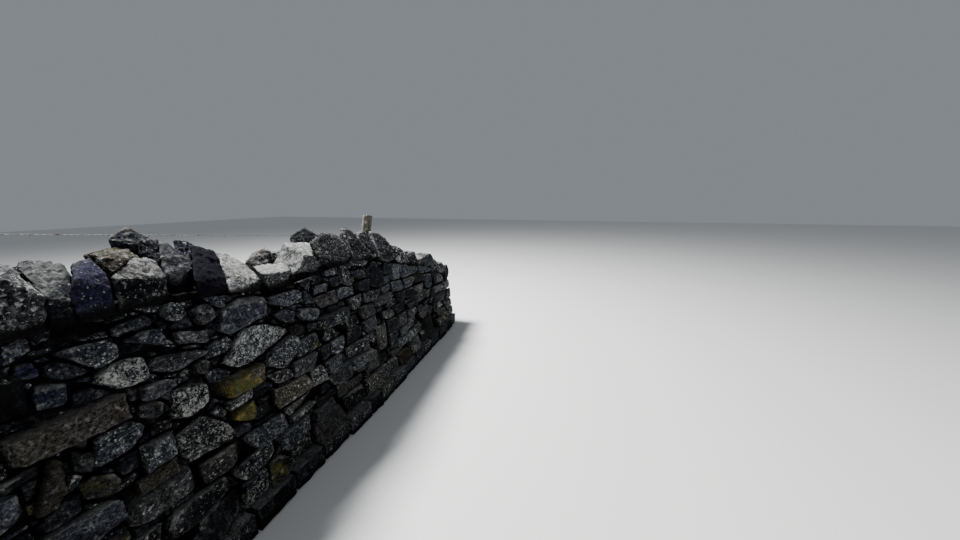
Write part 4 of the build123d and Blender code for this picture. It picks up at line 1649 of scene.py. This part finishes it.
def makeDressedStones(kind, usual):
    # the throughs or the footings of every bay, with moss by chance where the look gives none
    for bay in bays:
        dice, stones = np.random.default_rng(dressing["seed"] + bay), []
        for points in solidPoints(f"{kind}s_{bay}"):
            middle = (points.min(0) + points.max(0)) / 2
            known = lookOf(throughLooks, middle[[0, 2]], sameStone["through"]) if kind == "through" else None
            style = {"moss": float(dice.uniform(*dressing["moss"])), **(known or usual)}
            stone = dressedStone(points, dice, style, fineness[kind], dressing["chips"])
            if kind == "through":
                stone["surface"], stone["surfaceReach"], stone["surfaceDepth"] = cleanSurface
            stones.append(stone)
        stonePiece(f"{kind}_stones_{bay}", stones, f"{kind}_stone", f"{kind}s_{bay}")
    print(f"{kind}s dressed")


def randomCopeLook(dice):
    look = {key: float(dice.uniform(*span)) for key, span in copeWork["looks"].items()}
    return {"moss": copeWork["moss"], **look}


def packingStones(bay, dice):
    # one row along the middle of the top and one along each side
    stones, signs = [], [(i, j, k) for i in (-1, 1) for j in (-1, 1) for k in (-1, 1)]
    start = body["start"] + bayLength * (bay - 1)
    for row in (-1, 0, 1):
        x = start
        while x < start + bayLength - packing["lastRoom"]:
            half = packing["half"] * dice.uniform(*packing["size"], 3)
            half[1] *= 1 if row else packing["wideInside"]
            place = x + half[0]
            middle = np.array([
                place, row * (body["topHalf"] - packing["inset"]), topAt(place) + packing["rise"],
            ])
            corners = np.array(signs) * half
            corners = corners * dice.uniform(*packing["corners"], corners.shape) + middle
            style = {"tone": float(dice.uniform(*packing["tone"])), **packing["style"]}
            stones.append(dressedStone(corners, dice, style, fineness["packing"], packing["chips"]))
            stones[-1]["surfaceReach"] += packing["shade"]
            x += 2 * half[0] + dice.uniform(0, packing["gap"])
    return stones


def makeCopes():
    count = 0
    for bay in bays:
        dice, stones = np.random.default_rng(dressing["seed"] + bay), []
        for points in solidPoints(f"copes_{bay}"):
            drawn = randomCopeLook(dice)
            middle = (points.min(0) + points.max(0))[:2] / 2
            known = lookOf(copeLooks, middle, sameStone["cope"])
            close = known and points[:, 0].mean() < copeWork["fineUpTo"]
            chips = copeWork["knownChips" if known else "otherChips"]
            style = {**copeSurface, **(known or drawn)}
            stones.append(dressedStone(points, dice, style, fineness["seenCope" if close else "cope"], chips))
        count += len(stones)
        stones += packingStones(bay, dice)
        stonePiece(f"cope_stones_{bay}", stones, "cope_stone", f"copes_{bay}")
    print("copes:", count)


makeFaces(makeHeads())
makeDressedStones("through", {"moss": 0.15, "lumps": 0.05, "crisp": 24, "lichen": 0.2})
makeDressedStones("footing", {"lumps": 0.1, "swell": 0.0})
makeCopes()
heartingMaterial = makeHeartingMaterial()
for bay in bays:
    nodes[f"hearting_{bay}"].data.materials.clear()
    nodes[f"hearting_{bay}"].data.materials.append(heartingMaterial)
print("hearting finished")


# Fence: weathered round posts and the barbed wire along their far side, in metres
postWork = {
    "seed": 7,
    "around": 112,
    "along": 70,
    "capRings": 9,
    "capEdge": 0.985,
    "noiseTurns": (1.5, 5),  # of the wear, round the post and along it
    "wear": 0.028,  # shares of the radius: broad wear and narrow grooves
    "grooves": 0.014,
    "grooveTurns": (7, 7, 0.8),
    "mostWear": 1.5,
    "cracks": 7,
    "crackDepth": 0.009,
    "crackWidth": 0.055,  # radians, as its place
    "crackPlace": (0, 6.28),
    "crackWander": (0.12, 6),
    "crackReach": (0.25, 0.8),  # down from the top, as a share of the height
    "crackStrength": (0.4, 1),
    "crackSharpness": 0.7,
    "crackOnEnd": 0.5,
    "grainShift": 0.37,
    "mossyFoot": 5,
    "mossySide": (0.3, -0.8, 0.3),
    "mossOnSide": 0.25,
}
wireWork = {
    "seed": 8,
    "strandRadius": 0.00115,
    "twistPitch": 0.055,
    "stepsPerTwist": 9,
    "strandSides": 6,
    "barbSides": 5,
    "barbSpacing": 0.112,
    "barbShift": 0.006,
    "bareEnds": (0.06, 0.05),
    "coilSteps": 17,
    "coilTurns": 2,
    "coilStart": (0, 6.28),
    "coilLength": 0.0032,
    "coilApart": 0.002,
    "barbReach": 0.0125,
    "barbLean": 0.35,
    "barbRadius": 0.0008,
    "pointedEnd": 0.02,
}
timber = {
    "grain": (95.0, 95.0, 3.0),
    "streaks": (30.0, 30.0, 1.6),
    "fine": (400.0, 400.0, 30.0),
    "darkGrain": (0.05, 0.043, 0.036),
    "lightGrain": (0.18, 0.17, 0.15),
    "streak": (0.15, 0.115, 0.085),
    "yearRings": 1500.0,
    "darkEnd": (0.09, 0.078, 0.062),
    "lightEnd": (0.22, 0.2, 0.17),
    "crack": (0.02, 0.018, 0.016),
    "lichen": (0.36, 0.38, 0.3),
    "crust": {"Scale": 30.0, "Amount": 0.3, "Size": 0.9},
    "moss": (0.075, 0.09, 0.04),
    "relief": 0.004,
}
wireColors = {"dull": (0.12, 0.122, 0.125), "bright": (0.24, 0.243, 0.245), "rust": (0.14, 0.055, 0.025)}


def makeTimberMaterial():
    material, tree, shader = newMaterial("weatheredTimber", 0.9)
    place = attributeOf(tree, "grainPlace")["Vector"]
    sawnEnd, crack, mossy = list(channels(attributeOf(tree, "timberLook")["Color"]))
    grain = stretchedNoise(place, timber["grain"], 5.0, 0.65, 0.6)
    streak = stretchedNoise(place, timber["streaks"], 3.0)
    fine = stretchedNoise(place, timber["fine"], 3.0)
    patch = noiseAt(place, 9.0, 4.0)
    color = mixColor(ramp(grain, 0.35, 0.68), timber["darkGrain"], timber["lightGrain"])
    color = mixColor(ramp(streak, 0.5, 0.7, 0.0, 0.6), color, timber["streak"])
    # sawn end: rings about the middle, weathered darker
    flat = vectorMaths("MULTIPLY", place, (1.0, 1.0, 0.0))["Vector"]
    radius = vectorMaths("LENGTH", flat)["Value"]
    rings = maths("SINE", plus(times(radius, timber["yearRings"]), times(patch, 6.0)))
    rings = ramp(rings, -1.0, 1.0)
    color = mixColor(sawnEnd, color, mixColor(rings, timber["darkEnd"], timber["lightEnd"]))
    color = mixColor(crack, color, timber["crack"])
    crust = useGroup(tree, lichenGroup, {"Place": place, **timber["crust"]})["Mask"]
    crust = times(crust, ramp(patch, 0.48, 0.6))
    color = mixColor(times(crust, 0.8), color, timber["lichen"])
    green = times(mossy, ramp(patch, 0.42, 0.62, 0.2, 1.0))
    color = mixColor(times(green, 0.7), color, timber["moss"])
    tree.links.new(color, shader["Base Color"])
    height = plus(plus(grain, times(fine, 0.3)), times(rings, sawnEnd))
    addBump(tree, shader, height, timber["relief"])
    return material


def makeWireMaterial():
    material, tree, shader = newMaterial("galvanisedWire", 0.6, 0.6)
    place = addNode(tree, "ShaderNodeTexCoord").outputs["Object"]
    broad, fine = noiseAt(place, 18.0, 4.0), noiseAt(place, 900.0, 3.0)
    rust = ramp(plus(broad, times(fine, 0.25)), 0.62, 0.8)
    color = mixColor(ramp(fine, 0.3, 0.7), wireColors["dull"], wireColors["bright"])
    tree.links.new(mixColor(rust, color, wireColors["rust"]), shader["Base Color"])
    tree.links.new(ramp(rust, 0.0, 1.0, 0.6, 0.05), shader["Metallic"])
    tree.links.new(ramp(rust, 0.0, 1.0, 0.6, 0.9), shader["Roughness"])
    addBump(tree, shader, fine, 0.0006)
    return material


def postShape(name):
    # axis, radius and sawn plane of a round post, from its corner points
    points = solidPoints(name)[0]
    foot, crown = points[points[:, 2] < sameLevel], points[points[:, 2] > sameLevel]
    axis = unit(crown.mean(0) - foot.mean(0))
    spread = foot - foot.mean(0)
    spread -= np.outer(spread @ axis, axis)
    sawn = np.linalg.svd(crown - crown.mean(0))[2][2]
    radius = np.linalg.norm(spread, axis=1).max()
    return foot.mean(0), crown.mean(0), axis, radius, sawn * np.sign(sawn[2])


def ringQuads(tubes, rings, sides):
    # quads between the rings of each tube, for points in the order of tube, ring and side
    tube, ring, turn = np.meshgrid(np.arange(tubes), np.arange(rings - 1), np.arange(sides), indexing="ij")
    first, following = (tube * rings + ring) * sides, (turn + 1) % sides
    quads = np.stack([first + turn, first + following, first + sides + following, first + sides + turn], -1)
    return quads.reshape(-1, 4)


def postCracks(share, angle, seed, dice):
    # each crack is a notch round its own wandering angle, deeper towards the top:
    # strength x share of its reach ^ sharpness x exp(-(angle off its line / width) ^ 2)
    wander, turns = postWork["crackWander"]
    cracks = np.zeros((len(share), len(angle)))
    for number in range(postWork["cracks"]):
        start = dice.uniform(*postWork["crackPlace"])
        place = np.stack([share * turns, share * 0 + number, share * 0 + seed], -1)
        line = start + wander * smoothNoise(place)
        gap = (angle[None] - line[:, None] + math.pi) % (2 * math.pi) - math.pi
        reach = dice.uniform(*postWork["crackReach"])
        depth = np.clip((share - 1 + reach) / reach, 0, 1) ** postWork["crackSharpness"]
        depth = depth * dice.uniform(*postWork["crackStrength"])
        cracks = np.maximum(cracks, np.exp(-(gap / postWork["crackWidth"]) ** 2) * depth[:, None])
    return cracks


def makePost(name, seed, material):
    # over the angle a and the share s of the height: point = foot + s (crown - foot) + outward e(a) times
    # r (1 - wear by noise) - the cracks, slid along the axis so that both ends lie in their planes
    foot, crown, axis, fullRadius, sawn = postShape(name)
    around, along, capRings = postWork["around"], postWork["along"], postWork["capRings"]
    angle = np.arange(around) * 2 * math.pi / around
    across = unit(np.cross(axis, (1, 0, 0)))
    other = np.cross(across, axis)
    outward = np.outer(np.cos(angle), other) + np.outer(np.sin(angle), across)
    share = np.concatenate([np.linspace(0, 1, along), np.full(capRings, 1.0)])
    shrink = np.concatenate([np.ones(along - 1), np.linspace(postWork["capEdge"], 0, capRings + 1)])
    sideways, upwards = postWork["noiseTurns"]
    turns = (np.cos(angle)[None] * sideways, np.sin(angle)[None] * sideways, share[:, None] * upwards)
    place = np.stack(np.broadcast_arrays(*turns), -1) + seed
    wear = postWork["wear"] * np.clip(0.5 + smoothNoise(place), 0, postWork["mostWear"])
    grooves = np.clip(0.5 + smoothNoise(place * postWork["grooveTurns"]), 0, postWork["mostWear"])
    wear = wear + postWork["grooves"] * grooves
    cracks = postCracks(share, angle, seed, np.random.default_rng(seed))
    radius = fullRadius * (1 - wear) - postWork["crackDepth"] * cracks
    radial = radius[..., None] * shrink[:, None, None] * outward[None]
    slide = -(radial @ sawn) / (axis @ sawn)
    drop = -(radial @ np.array([0, 0, 1])) / axis[2]
    rise = slide * share[:, None] + drop * (1 - share[:, None])
    points = (foot + share[:, None] * (crown - foot))[:, None] + radial + rise[..., None] * axis
    # the last ring is one point, the middle of the sawn end, and the foot is closed by a point of its own
    apex, turn = (len(share) - 1) * around, np.arange(around)
    points = np.concatenate([points.reshape(-1, 3)[:apex + 1], foot[None]])
    following, last = (turn + 1) % around, apex - around
    faces = [
        ringQuads(1, len(share) - 1, around),
        np.stack([last + turn, last + following, np.full(around, apex)], -1),
        np.stack([following, turn, np.full(around, apex + 1)], -1),
    ]
    height = np.broadcast_to(share[:, None] * np.linalg.norm(crown - foot), radius.shape)
    local = np.stack([radial @ other, radial @ across, height], -1)
    local = np.concatenate([local.reshape(-1, 3)[:apex + 1], [[0, 0, 0]]])
    local = local + (0, 0, seed * postWork["grainShift"])
    sawnEnd = np.broadcast_to((shrink < 1)[:, None], radius.shape)
    mossy = np.clip(1 - share * postWork["mossyFoot"], 0, 1)[:, None]
    mossy = mossy + postWork["mossOnSide"] * np.clip(outward @ postWork["mossySide"], 0, 1)[None]
    cracks = cracks * (1 - postWork["crackOnEnd"] * sawnEnd)
    look = np.stack([sawnEnd, cracks, mossy, np.ones(radius.shape)], -1)
    look = np.concatenate([look.reshape(-1, 4)[:apex + 1], [[0, 0, 1, 1]]])
    attributes = {"grainPlace": local, "timberLook": look}
    buildPiece(f"{name}_timber", points, faces, material, name, attributes)


def rods(paths, radius, sides):
    # round rods: point = path + radius (cos a . across + sin a . other), with the ends drawn to a point
    steps = paths.shape[1]
    along = np.gradient(paths, axis=1)
    along /= np.linalg.norm(along, axis=-1)[..., None]
    guide = np.where(np.abs(along[..., :1]) > 0.8, (0.0, 0.3, 1.0), (1.0, 0.2, 0.1))  # never along the rod
    across = np.cross(along, guide)
    across /= np.linalg.norm(across, axis=-1)[..., None]
    other = np.cross(along, across)
    angle = np.arange(sides) * 2 * math.pi / sides
    ends = np.ones(steps)
    ends[[0, -1]] = wireWork["pointedEnd"]
    offset = np.cos(angle)[:, None] * across[..., None, :] + np.sin(angle)[:, None] * other[..., None, :]
    points = paths[..., None, :] + radius * ends[:, None, None] * offset
    rod, turn = np.arange(len(paths))[:, None] * steps * sides, np.arange(sides)
    caps = np.concatenate([(rod + turn)[:, ::-1], rod + (steps - 1) * sides + turn])
    return points.reshape(-1, 3), ringQuads(len(paths), steps, sides), caps


def makeWire(material):
    # two strands twisted about the wire's line, point = line + strand radius (cos, sin), and barbs round them
    points = solidPoints("wire_strand")[0]
    along = unit(points[np.argmax(points[:, 0])] - points[np.argmin(points[:, 0])])
    middle = points.mean(0)
    reach = ((points - middle) @ along).max()
    across = unit(np.cross(along, (0, 0, 1)))
    above = np.cross(across, along)

    def circle(angle):
        return np.outer(np.cos(angle), across) + np.outer(np.sin(angle), above)

    pitch, thick, barb = wireWork["twistPitch"], wireWork["strandRadius"], wireWork["barbRadius"]
    run = np.linspace(-reach, reach, int(2 * reach / pitch * wireWork["stepsPerTwist"]))
    phase = run * 2 * math.pi / pitch
    strands = [middle + np.outer(run, along) + thick * circle(phase + start) for start in (0, math.pi)]
    dice = np.random.default_rng(wireWork["seed"])
    coils, spikes = [], []
    steps, half, apart = wireWork["coilSteps"], wireWork["coilLength"] / 2, wireWork["coilApart"]
    coilTurn, lean = wireWork["coilTurns"] * 2 * math.pi, wireWork["barbLean"]
    firstGap, lastGap = wireWork["bareEnds"]
    for place in np.arange(-reach + firstGap, reach - lastGap, wireWork["barbSpacing"]):
        centre = middle + along * (place + dice.uniform(-wireWork["barbShift"], wireWork["barbShift"]))
        for side in (-1, 1):
            turn = dice.uniform(*wireWork["coilStart"]) + np.linspace(0, coilTurn, steps)
            coil = centre + np.outer(side * apart + np.linspace(-half, half, steps), along)
            coil = coil + (thick * 2 + barb) * circle(turn)
            coils.append(coil)
            for end, sign in ((0, -1), (-1, 1)):
                tangent = sign * (-math.sin(turn[end]) * across + math.cos(turn[end]) * above)
                aim = unit(tangent + side * sign * lean * along)
                spikes.append(coil[end] + np.outer(np.linspace(0, wireWork["barbReach"], 3), aim))
    parts = [rods(np.array(strands), thick, wireWork["strandSides"])]
    parts += [rods(np.array(paths), barb, wireWork["barbSides"]) for paths in (coils, spikes)]
    offset, faces = 0, []
    for newPoints, quads, caps in parts:
        faces += [quads + offset, caps + offset]
        offset += len(newPoints)
    points = np.concatenate([part[0] for part in parts])
    buildPiece("barbed_wire", points, faces, material, "wire_strand")


timberMaterial = makeTimberMaterial()
for number in (1, 2):
    makePost(f"fence_post_{number}", number * postWork["seed"], timberMaterial)
makeWire(makeWireMaterial())
print("fence made")


# Stage: a plain pale floor and soft light, the stronger light high behind the wall
stageWork = {
    "floorReach": 40,
    "floorColor": (0.75, 0.75, 0.73, 1),
    "worldColor": (0.78, 0.84, 0.92, 1),
    "worldStrength": 0.3,
    "lights": {  # place, power and size
        "key": ((1.5, 5.0, 11.5), 6000, 3),
        "fill": ((-6.0, -9.0, 6.0), 60, 8),
    },
}


def makeFloor():
    reach = stageWork["floorReach"]
    mesh = bpy.data.meshes.new("floor")
    corners = [(-reach, -reach, 0), (reach, -reach, 0), (reach, reach, 0), (-reach, reach, 0)]
    mesh.from_pydata(corners, [], [(0, 1, 2, 3)])
    material, tree, shader = newMaterial("paleFloor", 0.95)
    shader["Base Color"].default_value = stageWork["floorColor"]
    mesh.materials.append(material)
    floor = bpy.data.objects.new("floor", mesh)
    bpy.context.scene.collection.objects.link(floor)


def makeLights():
    for name, (place, power, size) in stageWork["lights"].items():
        lamp = bpy.data.lights.new(name, "AREA")
        lamp.energy, lamp.size = power, size
        lampObject = bpy.data.objects.new(name, lamp)
        lampObject.location = place
        aim = -lampObject.location
        lampObject.rotation_euler = aim.to_track_quat("-Z", "Y").to_euler()
        bpy.context.scene.collection.objects.link(lampObject)
    world = bpy.data.worlds.new("studio")
    world.use_nodes = True
    sky = world.node_tree.nodes["Background"]
    sky.inputs["Color"].default_value = stageWork["worldColor"]
    sky.inputs["Strength"].default_value = stageWork["worldStrength"]
    bpy.context.scene.world = world


makeFloor()
makeLights()
print("stage made")
